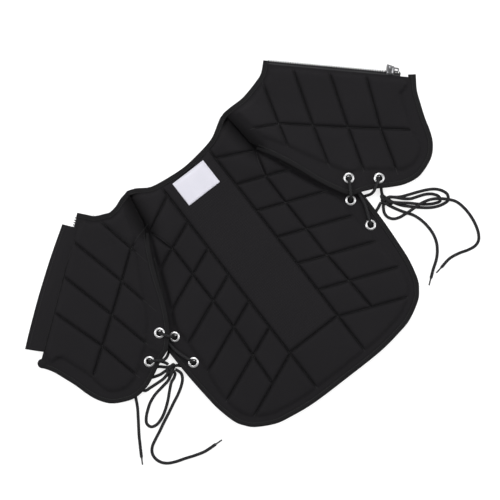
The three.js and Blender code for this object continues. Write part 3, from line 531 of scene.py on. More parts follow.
class Recipe:
    """A material's node tree, built a node at a time."""

    WAVE_RATE = 20                # radians that a wave texture of scale 1 turns in a metre

    def __init__(self, name: str) -> None:
        """Starts a material with its shader.

        Args:
            name: Name of the material.
        """
        self.material = bpy.data.materials.new(name)
        self.material.use_nodes = True
        self.tree = self.material.node_tree
        self.shader = self.tree.nodes["Principled BSDF"]

    def node(self, kind: str, inputs: Optional[dict] = None, **settings: object) -> bpy.types.Node:
        """Adds a node.

        Args:
            kind: Type of the node, without its Shader prefix.
            inputs: Values or sockets for its inputs, by name or number.
            **settings: Its other settings.

        Returns:
            The node.
        """
        made = self.tree.nodes.new("ShaderNode" + kind)
        for key, value in settings.items():
            setattr(made, key, value)
        for key, value in (inputs or {}).items():
            self.feed(made.inputs[key], value)
        return made

    def feed(self, socket: bpy.types.NodeSocket, value: object) -> None:
        """Sets a socket, or links it where the value is another socket.

        Args:
            socket: The socket to set.
            value: Its value, or the socket that feeds it.
        """
        if isinstance(value, bpy.types.NodeSocket):
            self.tree.links.new(value, socket)
        else:
            socket.default_value = value

    def math(self, operation: str, *values: object) -> bpy.types.NodeSocket:
        """Result of a sum of values or sockets.

        Args:
            operation: Kind of the sum.
            *values: Values or sockets that go into it.

        Returns:
            The result's socket.
        """
        made = self.node("Math", operation=operation)
        for socket, value in zip(made.inputs, values):
            self.feed(socket, value)
        return made.outputs[0]

    def total(self, *parts: tuple[bpy.types.NodeSocket, float]) -> bpy.types.NodeSocket:
        """Sum of sockets, each times its share.

        Args:
            *parts: Pairs of a socket and its share.

        Returns:
            The sum's socket.
        """
        first, *others = (self.math("MULTIPLY", socket, share) for socket, share in parts)
        for other in others:
            first = self.math("ADD", first, other)
        return first

    def place(self) -> bpy.types.NodeSocket:
        """Coordinates of the piece's own frame."""
        return self.node("TexCoord").outputs["Object"]

    def noise(self, scale: float, detail: float = 2.0) -> bpy.types.NodeSocket:
        """Noise over the piece."""
        made = self.node("TexNoise", {"Vector": self.place(), "Scale": scale, "Detail": detail})
        return made.outputs[0]

    def wave(self, period: float, direction: str) -> bpy.types.NodeSocket:
        """Straight ribs over the piece.

        Args:
            period: Spacing of the ribs in metres.
            direction: Axis along which they follow each other.

        Returns:
            Height of the ribs.
        """
        scale = 2 * math.pi / (self.WAVE_RATE * period)
        made = self.node("TexWave", {"Vector": self.place(), "Scale": scale}, bands_direction=direction)
        return made.outputs[1]

    def shades(self, factor: object, dark: Sequence[float], light: Sequence[float]) -> bpy.types.NodeSocket:
        """Colour between a dark and a light shade.

        Args:
            factor: Socket of the light shade's share.
            dark: The dark shade.
            light: The light shade.

        Returns:
            The colour.
        """
        made = self.node("ValToRGB", {0: factor})
        made.color_ramp.elements[0].color = (*dark, 1)
        made.color_ramp.elements[1].color = (*light, 1)
        return made.outputs[0]

    def darken(self, colour: bpy.types.NodeSocket, attribute: str, loss: float) -> bpy.types.NodeSocket:
        """Colour that loses a share of its value where a piece's attribute is 1.

        Args:
            colour: The colour.
            attribute: Name of the attribute.
            loss: Share that is lost.

        Returns:
            The darkened colour.
        """
        mask = self.node("Attribute", attribute_name=attribute).outputs["Fac"]
        value = self.math("SUBTRACT", 1.0, self.math("MULTIPLY", mask, loss))
        return self.node("HueSaturation", {"Color": colour, "Value": value}).outputs[0]

    def bump(self, height: object, distance: float, strength: float = 1.0) -> None:
        """Raises the surface by a height over a distance."""
        made = self.node("Bump", {"Height": height, "Distance": distance, "Strength": strength})
        self.feed(self.shader.inputs["Normal"], made.outputs[0])

    def surface(self, **values: object) -> bpy.types.Material:
        """Sets the shader's sockets.

        Args:
            **values: Values or sockets by socket name, with underscores for its spaces.

        Returns:
            The material.
        """
        for key, value in values.items():
            self.feed(self.shader.inputs[key.replace("_", " ")], value)
        return self.material


@dataclass(frozen=True)
class Finish:
    """A finish of the vest: its slot, and its darkest and lightest shade."""

    name: str
    slot: Slot
    dark: Triple
    light: Triple

    def material(self) -> bpy.types.Material:
        """The finish's material, made once."""
        return bpy.data.materials.get(self.name) or self.make(Recipe(self.name))

    def make(self, recipe: Recipe) -> bpy.types.Material:
        """Builds the material."""
        raise NotImplementedError


@dataclass(frozen=True)
class QuiltCloth(Finish):
    """Matt knitted lining, with an open mesh where the panel's mesh attribute says so, and painted shade
    where its fold attribute says so.
    """

    knit: float = 0.0011          # spacing of the knit's ribs
    knit_cross: float = 1.4       # spacing of its second ribs, as a share
    mesh: float = 0.0033          # spacing of the open mesh
    mesh_cross: float = 1.25      # its spacing the other way, as a share
    mesh_height: float = 2.0      # its height, as a share of the knit's
    mesh_shade: float = 0.8       # its share in the blotches
    cloud: Pair = (14.0, 4.0)     # scale and detail of the large blotches
    cloud_shade: float = 0.6
    fibre: float = 700.0          # scale of the fine ones
    fibre_shade: float = 0.3
    relief: Pair = (0.0003, 0.5)  # height and strength of the bump
    roughness: float = 0.9
    gloss: float = 0.06
    sheen: float = 0.03
    sheen_roughness: float = 0.5
    sheen_tint: Triple = (0.6, 0.58, 0.62)
    fold_painted_shade_loss: float = 0.6        # share of the colour that painted shade takes away down in the shoulder folds and seam grooves

    def make(self, recipe: Recipe) -> bpy.types.Material:
        """Builds the lining: fine knit, open mesh on the spine pad, faint blotches, painted shade in the
        folds and seams.

        Args:
            recipe: Node tree of the material.

        Returns:
            The material.
        """
        mask = recipe.node("Attribute", attribute_name="mesh").outputs["Fac"]
        ribs = recipe.wave(self.knit, "DIAGONAL")
        knit = recipe.math("MULTIPLY", ribs, recipe.wave(self.knit * self.knit_cross, "X"))
        columns = recipe.wave(self.mesh, "X")
        holes = recipe.math("MULTIPLY", columns, recipe.wave(self.mesh * self.mesh_cross, "Y"))
        open_mesh = recipe.math("MULTIPLY", holes, mask)
        recipe.bump(recipe.total((knit, 1.0), (open_mesh, self.mesh_height)), *self.relief)
        blotch = recipe.total(
            (recipe.noise(*self.cloud), self.cloud_shade),
            (recipe.noise(self.fibre), self.fibre_shade),
            (open_mesh, self.mesh_shade),
        )
        # painted shade: the fold attribute darkens the colour down in the shoulder folds and along the seam
        # grooves
        painted_shade = recipe.darken(recipe.shades(blotch, self.dark, self.light), "fold", self.fold_painted_shade_loss)
        return recipe.surface(
            Base_Color=painted_shade, Roughness=self.roughness, Specular_IOR_Level=self.gloss,
            Sheen_Weight=self.sheen, Sheen_Roughness=self.sheen_roughness, Sheen_Tint=(*self.sheen_tint, 1),
        )


@dataclass(frozen=True)
class WovenTape(Finish):
    """Ribbed tape whose ribs cross its length, on the tape's own map."""

    rib: float = 0.0012           # spacing of the ribs
    rib_height: float = 0.5       # their height, as a share of the weave's
    weave: float = 900.0          # scale of the fine weave
    weave_shade: float = 0.5      # its share in the shade changes
    cloud: float = 40.0           # scale of the larger shade changes
    relief: Pair = (0.0002, 0.5)  # height and strength of the bump
    roughness: float = 0.8
    gloss: float = 0.08

    def make(self, recipe: Recipe) -> bpy.types.Material:
        """Builds the tape: ribs along the map's first axis, a fine weave and small shade changes.

        Args:
            recipe: Node tree of the material.

        Returns:
            The material.
        """
        along = recipe.node("SeparateXYZ", {0: recipe.node("UVMap").outputs[0]}).outputs[0]
        rib = recipe.math("SINE", recipe.math("MULTIPLY", along, 2 * math.pi / self.rib))
        weave = recipe.noise(self.weave)
        recipe.bump(recipe.total((rib, self.rib_height), (weave, 1.0)), *self.relief)
        cloud = recipe.noise(self.cloud)
        blotch = recipe.total((weave, self.weave_shade), (cloud, 1 - self.weave_shade))
        return recipe.surface(
            Base_Color=recipe.shades(blotch, self.dark, self.light), Roughness=self.roughness,
            Specular_IOR_Level=self.gloss,
        )


@dataclass(frozen=True)
class Satin(Finish):
    """Plain woven label."""

    weave: float = 0.0006         # spacing of the threads
    relief: Pair = (1e-4, 0.35)   # height and strength of the bump
    cloud: Pair = (60.0, 4.0)     # scale and detail of the shade changes
    roughness: float = 0.55
    sheen: float = 0.2

    def make(self, recipe: Recipe) -> bpy.types.Material:
        """Builds the label: a very fine weave with a faint sheen.

        Args:
            recipe: Node tree of the material.

        Returns:
            The material.
        """
        weave = recipe.math("ADD", recipe.wave(self.weave, "X"), recipe.wave(self.weave, "Y"))
        recipe.bump(weave, *self.relief)
        return recipe.surface(
            Base_Color=recipe.shades(recipe.noise(*self.cloud), self.dark, self.light),
            Roughness=self.roughness, Sheen_Weight=self.sheen,
        )


@dataclass(frozen=True)
class Plated(Finish):
    """Plated metal with faint handling marks, darkened by painted shade where the piece's bore attribute says
    so.
    """

    roughness: float = 0.22
    spread: Pair = (0.7, 1.5)     # roughness of the brightest and dullest marks, as a share
    marks: Pair = (900.0, 5.0)    # scale and detail of the marks
    relief: Pair = (5e-5, 0.3)    # height and strength of the bump
    painted_bore_shade_loss: float = 0.97       # share of the colour that painted shade takes away in an eyelet's bore

    def make(self, recipe: Recipe) -> bpy.types.Material:
        """Builds the metal: roughness and shade change a little over the surface, and painted shade darkens
        the bore.

        Args:
            recipe: Node tree of the material.

        Returns:
            The material.
        """
        marks = recipe.noise(*self.marks)
        bright, dull = (self.roughness * share for share in self.spread)
        rough = recipe.node("MapRange", {0: marks, 3: bright, 4: dull}).outputs[0]
        recipe.bump(marks, *self.relief)
        # painted shade: the bore attribute darkens the eyelet's bore almost to black
        painted_shade = recipe.darken(recipe.shades(marks, self.dark, self.light), "painted_bore_shade", self.painted_bore_shade_loss)
        return recipe.surface(Base_Color=painted_shade, Roughness=rough, Metallic=1.0)


@dataclass(frozen=True)
class Moulded(Finish):
    """Moulded plastic."""

    roughness: float = 0.42
    gloss: float = 0.5
    grain: Pair = (1500.0, 3.0)   # scale and detail of the grain
    relief: Pair = (6e-5, 0.4)    # height and strength of the bump

    def make(self, recipe: Recipe) -> bpy.types.Material:
        """Builds the plastic: a fine grain.

        Args:
            recipe: Node tree of the material.

        Returns:
            The material.
        """
        grain = recipe.noise(*self.grain)
        recipe.bump(grain, *self.relief)
        return recipe.surface(
            Base_Color=recipe.shades(grain, self.dark, self.light), Roughness=self.roughness,
            Specular_IOR_Level=self.gloss,
        )


@dataclass(frozen=True)
class Braid(Finish):
    """Round braided lace, on the lace's own map: metres along it and turns round it."""

    pitch: float = 0.0046
    strands: int = 4
    painted_shade_depth: float = -0.6            # height of the braid, from -1 to 1, that has the darkest painted shade
    relief: Pair = (0.0003, 0.6)  # height and strength of the bump
    roughness: float = 0.8
    gloss: float = 0.15

    def make(self, recipe: Recipe) -> bpy.types.Material:
        """Builds the braid: two sets of strands that wind opposite ways, with painted shade in the low parts
        between them.

        Args:
            recipe: Node tree of the material.

        Returns:
            The material.
        """
        parts = recipe.node("SeparateXYZ", {0: recipe.node("UVMap").outputs[0]})
        along = recipe.math("MULTIPLY", parts.outputs[0], 2 * math.pi / self.pitch)
        around = recipe.math("MULTIPLY", parts.outputs[1], 2 * math.pi * self.strands)
        one = recipe.math("SINE", recipe.math("ADD", along, around))
        other = recipe.math("SINE", recipe.math("SUBTRACT", along, around))
        braid = recipe.math("MAXIMUM", one, other)
        recipe.bump(braid, *self.relief)
        # painted shade: the colour is darkest in the low parts between the strands
        painted_shade = recipe.node("MapRange", {0: braid, 1: self.painted_shade_depth, 2: 1.0}).outputs[0]
        return recipe.surface(
            Base_Color=recipe.shades(painted_shade, self.dark, self.light), Roughness=self.roughness,
            Specular_IOR_Level=self.gloss,
        )


LINING = QuiltCloth("lining", Slot.QUILT, (0.0076, 0.0072, 0.008), (0.0112, 0.0105, 0.0116))
EDGE_TAPE = WovenTape("edge tape", Slot.BINDING, (0.0062, 0.006, 0.0065), (0.0094, 0.0091, 0.0097))
ZIP_WEAVE = WovenTape("zip weave", Slot.ZIP_TAPE, (0.026, 0.026, 0.027), (0.048, 0.048, 0.05), rib=0.0009)
THREAD = Moulded("thread", Slot.BINDING, (0.007, 0.007, 0.0073), (0.013, 0.013, 0.0135), roughness=0.8)
LABEL_CLOTH = Satin("label cloth", Slot.LABEL, (0.42, 0.415, 0.465), (0.47, 0.465, 0.515))
LABEL_THREAD = Moulded("label thread", Slot.LABEL, (0.42, 0.41, 0.45), (0.5, 0.49, 0.53), roughness=0.6)
NICKEL = Plated("nickel", Slot.EYELET, (0.42, 0.42, 0.425), (0.53, 0.53, 0.535), roughness=0.36)
SLIDER_METAL = Plated("slider metal", Slot.ZIP_METAL, (0.17, 0.17, 0.175), (0.27, 0.27, 0.28), roughness=0.16)
TOOTH_PLASTIC = Moulded("tooth plastic", Slot.ZIP_TEETH, (0.004, 0.004, 0.0044), (0.008, 0.008, 0.0086),
                        roughness=0.5, gloss=0.15)
LACE_BRAID = Braid("lace braid", Slot.LACE, (0.0035, 0.0035, 0.0039), (0.016, 0.016, 0.017))
TIP_FILM = Moulded("tip film", Slot.TIP, (0.008, 0.008, 0.009), (0.016, 0.016, 0.017), roughness=0.3)


def put(bm: bmesh.types.BMesh, name: str, finish: Finish, replaces: Sequence[str] = (),
        body: Body = Body.VEST) -> bpy.types.Object:
    """Makes a finished piece of a mesh under work, and lets it ride on its body.

    Args:
        bm: The mesh, in its place. It is freed.
        name: Name of the piece.
        finish: Its finish.
        replaces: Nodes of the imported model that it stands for.
        body: Body that it moves with.

    Returns:
        The piece's object.
    """
    mesh = bpy.data.meshes.new(name)
    bm.to_mesh(mesh)
    bm.free()
    mesh.shade_smooth()
    mesh.materials.append(finish.material())
    piece = bpy.data.objects.new(name, mesh)
    bpy.context.scene.collection.objects.link(piece)
    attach(piece, body.value)
    if replaces:
        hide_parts(*replaces)
    LOG.info("%s: %d faces", name, len(mesh.polygons))
    return piece


def face_out(bm: bmesh.types.BMesh) -> None:
    """Turns the faces of a mesh outwards."""
    bmesh.ops.recalc_face_normals(bm, faces=bm.faces[:])


def sweep(rings: Points, closed: bool = False) -> bmesh.types.BMesh:
    """Extrudes a closed section from ring to ring, with a map of metres along and share round it.

    Args:
        rings: Corners of each ring, ring by ring.
        closed: Whether the last ring joins the first.

    Returns:
        A closed shell.
    """
    bm = bmesh.new()
    count, sides = rings.shape[:2]
    ring = bm.verts.layers.int.new("ring")
    spot = bm.verts.layers.int.new("spot")
    row = [bm.verts.new(p) for p in rings[0]]
    for k, vert in enumerate(row):
        vert[spot] = k
    first = row
    edges = [bm.edges.new((row[k], row[(k + 1) % sides])) for k in range(sides)]
    for i in range(1, count):
        made = bmesh.ops.extrude_edge_only(bm, edges=edges)["geom"]
        for vert in (g for g in made if isinstance(g, bmesh.types.BMVert)):
            vert.co = rings[i][vert[spot]]
            vert[ring] = i
        drawn = [g for g in made if isinstance(g, bmesh.types.BMEdge)]
        edges = [e for e in drawn if e.verts[0][ring] == e.verts[1][ring] == i]
    last = sorted({v for e in edges for v in e.verts}, key=lambda v: v[spot])
    if closed:
        for k in range(sides):
            after = (k + 1) % sides
            bm.faces.new((last[k], last[after], first[after], first[k]))
    else:
        bm.faces.new(first)
        bm.faces.new(last)
    run = run_of(rings.mean(axis=1))
    uv = bm.loops.layers.uv.new("UVMap")
    for face in bm.faces:
        far_round = max(v[spot] for v in face.verts) == sides - 1 and min(v[spot] for v in face.verts) == 0
        far_along = closed and max(v[ring] for v in face.verts) - min(v[ring] for v in face.verts) > 1
        for loop in face.loops:
            turn = loop.vert[spot] + (sides if far_round and loop.vert[spot] == 0 else 0)
            along = run[loop.vert[ring]] if not (far_along and loop.vert[ring] == 0) else run[-1]
            loop[uv].uv = (along, turn / sides)
    face_out(bm)
    return bm


def tube_rings(line: Points, radius: np.ndarray, sides: int, closed: bool = False) -> Points:
    """Rings of a round section along a line, turned as little as possible from ring to ring.

    Args:
        line: Points of the centreline.
        radius: Radius at each point.
        sides: Corners of a ring.
        closed: Whether the line is a ring itself.

    Returns:
        Corners of each ring.
    """
    if closed:
        tangent = np.roll(line, -1, axis=0) - np.roll(line, 1, axis=0)
    else:
        tangent = np.gradient(line, axis=0)
    tangent /= np.linalg.norm(tangent, axis=1)[:, None]
    across = np.cross(tangent[0], (0, 0, 1) if abs(tangent[0][2]) < 0.9 else (1, 0, 0))
    angle = 2 * np.pi * np.arange(sides) / sides
    rings = []
    for place, ahead, r in zip(line, tangent, radius):
        across = across - ahead * (across @ ahead)
        across /= np.linalg.norm(across)
        up = np.cross(ahead, across)
        rings.append(place + r * (np.outer(np.cos(angle), across) + np.outer(np.sin(angle), up)))
    return np.array(rings)


def joined(places: Points, faces: Sequence[Sequence[int]]) -> bmesh.types.BMesh:
    """Many copies of one small shape as one mesh.

    Args:
        places: Corners of each copy, copy by copy.
        faces: Numbers of the corners of one copy's faces.

    Returns:
        The mesh.
    """
    copies, corners = places.shape[:2]
    mesh = bpy.data.meshes.new("joined")
    mesh.from_pydata(places.reshape(-1, 3).tolist(), [],
                     [[copy * corners + k for k in face] for copy in range(copies) for face in faces])
    bm = bmesh.new()
    bm.from_mesh(mesh)
    bpy.data.meshes.remove(mesh)
    face_out(bm)
    return bm


@dataclass(frozen=True)
class Stitching:
    """A row of stitches, each a small spindle that lies along the row."""

    length: float = 0.0024
    width: float = 0.00045
    pitch: float = 0.0032
    rise: float = 0.0002

    def row(self, line: Points, height: Lift) -> Points:
        """Places and headings of the stitches on a line.

        Args:
            line: Points of x and y.
            height: Height of the surface at points.

        Returns:
            Rows of the two ends of each stitch.
        """
        run = run_of(line)
        middles = np.arange(self.pitch, run[-1] - self.pitch / 2, self.pitch)
        ends = []
        for shift in (-self.length / 2, self.length / 2):
            xy = np.stack([np.interp(middles + shift, run, line[:, k]) for k in (0, 1)], axis=1)
            ends.append(np.column_stack([xy, height(xy) + self.rise]))
        return np.stack(ends, axis=1)

    def sew(self, name: str, rows: Sequence[Points], finish: Finish) -> bpy.types.Object:
        """Makes all stitches of some rows as one joined mesh.

        Args:
            name: Name of the piece.
            rows: Rows of stitches.
            finish: Finish of the thread.

        Returns:
            The piece.
        """
        spindle = bmesh.new()
        bmesh.ops.create_icosphere(spindle, subdivisions=1, radius=1)
        corners = np.array([v.co for v in spindle.verts])
        faces = [[v.index for v in f.verts] for f in spindle.faces]
        spindle.free()
        ends = np.concatenate(rows)
        middle = ends.mean(axis=1)
        ahead = (ends[:, 1] - ends[:, 0]) / 2
        side = np.cross(ahead, (0, 0, 1))
        side *= (self.width / np.linalg.norm(side, axis=1))[:, None]
        up = np.cross(side, ahead)
        up *= (self.width / np.linalg.norm(up, axis=1))[:, None]
        spread = sum(corners[None, :, k, None] * axis[:, None] for k, axis in enumerate((ahead, side, up)))
        return put(joined(middle[:, None] + spread, faces), name, finish)


@dataclass
class QuiltedPanel:
    """A padded panel: foam cells inside a flat sewn border, with eyelet holes."""

    name: str
    edge: EdgeLine
    seams: list[Points]
    eyelets: list[np.ndarray]
    lay: Lift
    has_mesh: bool = False
    grid: float = 0.0028
    edge_round: float = 0.009
    groove_half: float = 0.0062
    groove_flat: float = 0.0013
    groove_dip: float = 0.0006
    crown: float = 0.0006
    crown_width: float = 0.02
    pucker: float = 0.00025
    pucker_pitch: float = 0.0075
    pucker_reach: Pair = (0.0005, 0.002)              # the puckers rise between these from a seam
    pucker_slow: float = 1.7      # pitch of their second wave, as a share
    pucker_share: float = 0.6     # height of the second wave, as a share
    pucker_shift: float = 1.0     # start of the second wave, in radians
    hole: float = 0.0053
    hole_under: float = 0.001     # the outer cloth closes up round the lace under an eyelet
    hole_sides: int = 12
    fold_painted_shade_width: float = 0.012     # reach of the painted shade from a shoulder seam
    seam_painted_shade_reach: Pair = (0.0008, 0.003)                 # reach of the full and the last painted shade from a seam
    seam_painted_shade_share: float = 0.5       # painted shade of a seam groove, as a share of the shoulder folds'
    creases: tuple[float, ...] = (-0.0048, -0.0027, -0.0015, -0.0008, 0.0, 0.0008, 0.0015, 0.0027, 0.0048)
    crease_reach: float = 1.4     # faces are cut this far from a seam, as a share of the groove's half width
    merge: float = 0.00025        # corners closer than this become one

    def seam_field(self, xy: Points) -> tuple[np.ndarray, np.ndarray]:
        """Distance to the nearest seam, and the way run along it.

        Args:
            xy: Points of x and y.

        Returns:
            Distance and run at each point.
        """
        distance = np.full(len(xy), np.inf)
        run = np.zeros(len(xy))
        for seam in self.seams:
            d, index, share = nearest(xy, seam)
            starts = run_of(seam)
            steps = np.linalg.norm(np.diff(seam, axis=0), axis=1)
            near = d < distance
            distance[near] = d[near]
            run[near] = (starts[index] + steps[index] * share)[near]
        return distance, run

    def inside(self, xy: Points) -> np.ndarray:
        """Distance in from the sewn border's inner line, negative on the border.

        Args:
            xy: Points of x and y.

        Returns:
            Distance at each point.
        """
        distance, index, share = nearest(xy, self.edge.xy, closed=True)
        after = np.roll(self.edge.border, -1)
        return distance - self.edge.border[index] - (after[index] - self.edge.border[index]) * share

    def painted_shade(self, xy: Points) -> np.ndarray:
        """Painted shade of the cloth down in the shoulder folds and along the seam grooves.

        Args:
            xy: Points of x and y.

        Returns:
            Share of the finish's full loss at each point.
        """
        seam = 1 - smooth(self.seam_field(xy)[0], *self.seam_painted_shade_reach)
        foam = quarter(self.inside(xy) / self.edge_round)
        return np.maximum(Lay.valley(xy, self.fold_painted_shade_width) / VALLEY_DEPTH, self.seam_painted_shade_share * seam * foam)

    def rise(self, xy: Points) -> tuple[np.ndarray, np.ndarray]:
        """Height of the lining over the middle layer, and depth of the outer side under it.

        Args:
            xy: Points of x and y.

        Returns:
            Height and depth at each point.
        """
        inside = self.inside(xy)
        foam = quarter(inside / self.edge_round)
        seam, run = self.seam_field(xy)
        cell = quarter((seam - self.groove_flat) / self.groove_half)
        body = MARGIN / 2 + foam * ((FOAM - MARGIN) / 2 * cell - self.groove_dip * (1 - cell))
        crown = self.crown * smooth(seam, 0, self.crown_width) * smooth(inside, 0, self.crown_width)
        quick = np.sin(run * 2 * np.pi / self.pucker_pitch)
        slow = np.sin(run * 2 * np.pi / (self.pucker_pitch * self.pucker_slow) + self.pucker_shift)
        fold = quick + self.pucker_share * slow
        pucker = self.pucker * fold * np.exp(-seam / self.groove_half)
        pucker = pucker * smooth(seam, *self.pucker_reach) * foam
        return body + crown + pucker, body

    def top(self, xy: Points) -> np.ndarray:
        """Height of the lining at points."""
        return self.lay(xy) + MID + self.rise(xy)[0]

    @staticmethod
    def cut(bm: bmesh.types.BMesh, faces: Iterable[bmesh.types.BMFace], place: np.ndarray,
            normal: np.ndarray) -> list[bmesh.types.BMFace]:
        """Cuts faces along a straight line in the plan.

        Args:
            bm: The flat sheet.
            faces: Faces to cut.
            place: A point on the line.
            normal: Direction across the line.

        Returns:
            The faces after the cut, for a next cut beside it.
        """
        chosen = dict.fromkeys(f for f in faces if f.is_valid)
        edges = dict.fromkeys(e for f in chosen for e in f.edges)
        corners = dict.fromkeys(v for f in chosen for v in f.verts)
        result = bmesh.ops.bisect_plane(bm, geom=[*chosen, *edges, *corners], dist=1e-6,
                                        plane_co=(*place, 0), plane_no=(*normal, 0))
        return [g for g in result["geom"] if isinstance(g, bmesh.types.BMFace)]

    @staticmethod
    def near(bm: bmesh.types.BMesh, a: np.ndarray, b: np.ndarray, reach: float) -> list[bmesh.types.BMFace]:
        """Faces whose middle is close to a straight stretch.

        Args:
            bm: The flat sheet.
            a: Start of the stretch.
            b: Its end.
            reach: Distance from it.

        Returns:
            The faces.
        """
        middles = np.array([f.calc_center_median()[:2] for f in bm.faces])
        chosen = nearest(middles, np.array([a, b]))[0] < reach
        return [f for f, use in zip(bm.faces, chosen) if use]

    def sheet(self) -> bmesh.types.BMesh:
        """Flat sheet of the panel, gridded and cut along its seams, with eyelet holes.

        Returns:
            The sheet.
        """
        bm = bmesh.new()
        line = self.edge.cut_line()
        bm.faces.new([bm.verts.new((x, y, 0)) for x, y in line])
        for axis in (0, 1):
            normal = np.eye(2)[axis]
            low, high = line[:, axis].min(), line[:, axis].max()
            for value in np.arange(low + self.grid / 2, high, self.grid):
                self.cut(bm, bm.faces, normal * value, normal)
        for seam in self.seams:
            for a, b in zip(seam, seam[1:]):
                ahead = (b - a) / np.linalg.norm(b - a)
                across = np.array([-ahead[1], ahead[0]])
                faces = self.near(bm, a, b, self.crease_reach * self.groove_half)
                for offset in self.creases:
                    faces = self.cut(bm, faces, a + across * offset, across)
        for spot in self.eyelets:
            faces = self.near(bm, spot, spot + GAP, 2 * self.hole)
            for k in range(self.hole_sides):
                angle = 2 * np.pi * k / self.hole_sides
                normal = np.array([math.cos(angle), math.sin(angle)])
                faces = self.cut(bm, faces, spot + self.hole * normal, normal)
            inside = self.near(bm, spot, spot + GAP, self.hole)
            bmesh.ops.delete(bm, geom=inside, context="FACES")
        bmesh.ops.remove_doubles(bm, verts=bm.verts[:], dist=self.merge)
        bmesh.ops.dissolve_degenerate(bm, dist=1e-5, edges=bm.edges[:])
        bmesh.ops.triangulate(bm, faces=[f for f in bm.faces if len(f.verts) > 4])
        return bm

    def build(self) -> bpy.types.Object:
        """Makes the panel's closed shell.

        Returns:
            The piece.
        """
        bm = self.sheet()
        raised = bmesh.ops.extrude_face_region(bm, geom=bm.faces[:])["geom"]
        tops = [g for g in raised if isinstance(g, bmesh.types.BMVert)]
        bmesh.ops.translate(bm, verts=tops, vec=(0, 0, 1))
        face_out(bm)
        places = np.array([v.co for v in bm.verts])
        xy = places[:, :2].copy()
        height, depth = self.rise(xy)
        middle = self.lay(xy) + MID
        under = places[:, 2] < 0.5
        z = np.where(under, np.maximum(middle - depth, GAP), middle + height)
        for spot in self.eyelets:
            out = xy - spot
            away = np.linalg.norm(out, axis=1)
            rim = under & (away < self.hole + GAP)
            places[rim, :2] = spot + out[rim] * (self.hole_under / away[rim])[:, None]
        for vert, place, level in zip(bm.verts, places, z):
            vert.co = (place[0], place[1], level)
        # fold attribute: painted shade down in the shoulder folds and along the seam grooves
        fold = bm.verts.layers.float.new("fold")
        for vert, share in zip(bm.verts, self.painted_shade(xy)):
            vert[fold] = share
        if self.has_mesh:
            mask = bm.verts.layers.float.new("mesh")
            inside = (np.abs(xy[:, 0]) < SPINE_HALF) & (xy[:, 1] > SPINE_FOOT)
            for vert, use in zip(bm.verts, inside):
                vert[mask] = float(use)
        piece = put(bm, self.name + "_quilt", LINING, [self.name])
        return piece

    def sew(self) -> bpy.types.Object:
        """Sews the quilting's thread into the grooves.

        Returns:
            The piece.
        """
        stitching = Stitching()
        rows = [stitching.row(spline(seam, EdgeLine.STEP), self.top) for seam in self.seams]
        return stitching.sew(self.name + "_thread", rows, THREAD)


@dataclass
class BoundEdge:
    """Tape folded over a panel's edge and sewn down."""

    name: str
    line: Points
    sign: float
    lay: Lift
    lip: float = 0.0083
    half: float = 0.0026
    slot_depth: float = 0.0052
    slot_half: float = 0.0019
    fold: Table = ((0.0, 0.0012), (0.0004, 0.002))    # the fold's corners: in, up
    crest: Pair = (0.0015, 0.004)                     # the upper face starts and swells this far in
    swell: float = 0.0001
    lip_cut: Pair = (0.0004, 0.0003)                  # the lip's corner is cut in and down
    stitch_in: float = 0.0068
    start_width: float = 1.0      # width at the first end, as a share of the full width
    start_fade: float = 0.014
    end_width: float = 1.0        # width and thickness left at the last end
    end_fade: float = 0.03

    def section(self) -> list[Pair]:
        """Corners of the folded tape.

        Returns:
            Pairs of the distance in from the edge and the height over the middle layer.
        """
        upper = [
            *self.fold, (self.crest[0], self.half), (self.crest[1], self.half + self.swell),
            (self.lip - self.lip_cut[0], self.half), (self.lip, self.half - self.lip_cut[1]),
            (self.lip, self.slot_half), (self.slot_depth, self.slot_half),
        ]
        return upper + [(x, -z) for x, z in reversed(upper)]

    def inward(self) -> Points:
        """Direction in from the edge.

        Returns:
            Direction at each point of the line.
        """
        ahead = np.gradient(self.line, axis=0)
        ahead /= np.linalg.norm(ahead, axis=1)[:, None]
        return np.stack([-ahead[:, 1], ahead[:, 0]], axis=1) * self.sign

    def build(self) -> bpy.types.Object:
        """Makes the tape.

        Returns:
            The piece.
        """
        inward = self.inward()
        run = run_of(self.line)
        full = self.end_width + (1 - self.end_width) * smooth(run[-1] - run, 0, self.end_fade)
        wide = full * (self.start_width + (1 - self.start_width) * smooth(run, 0, self.start_fade))
        rings = []
        for offset, height in self.section():
            xy = self.line + inward * (offset * wide)[:, None]
            rings.append(np.column_stack([xy, self.lay(xy) + MID + height * full]))
        return put(sweep(np.stack(rings, axis=1)), self.name + "_tape", EDGE_TAPE, [self.name])

    def sew(self) -> bpy.types.Object:
        """Sews the tape's visible row of stitches.

        Returns:
            The piece.
        """
        stitching = Stitching()
        line = self.line + self.inward() * self.stitch_in
        row = stitching.row(line, lambda xy: self.lay(xy) + MID + self.half)
        return stitching.sew(self.name + "_thread", [row], THREAD)


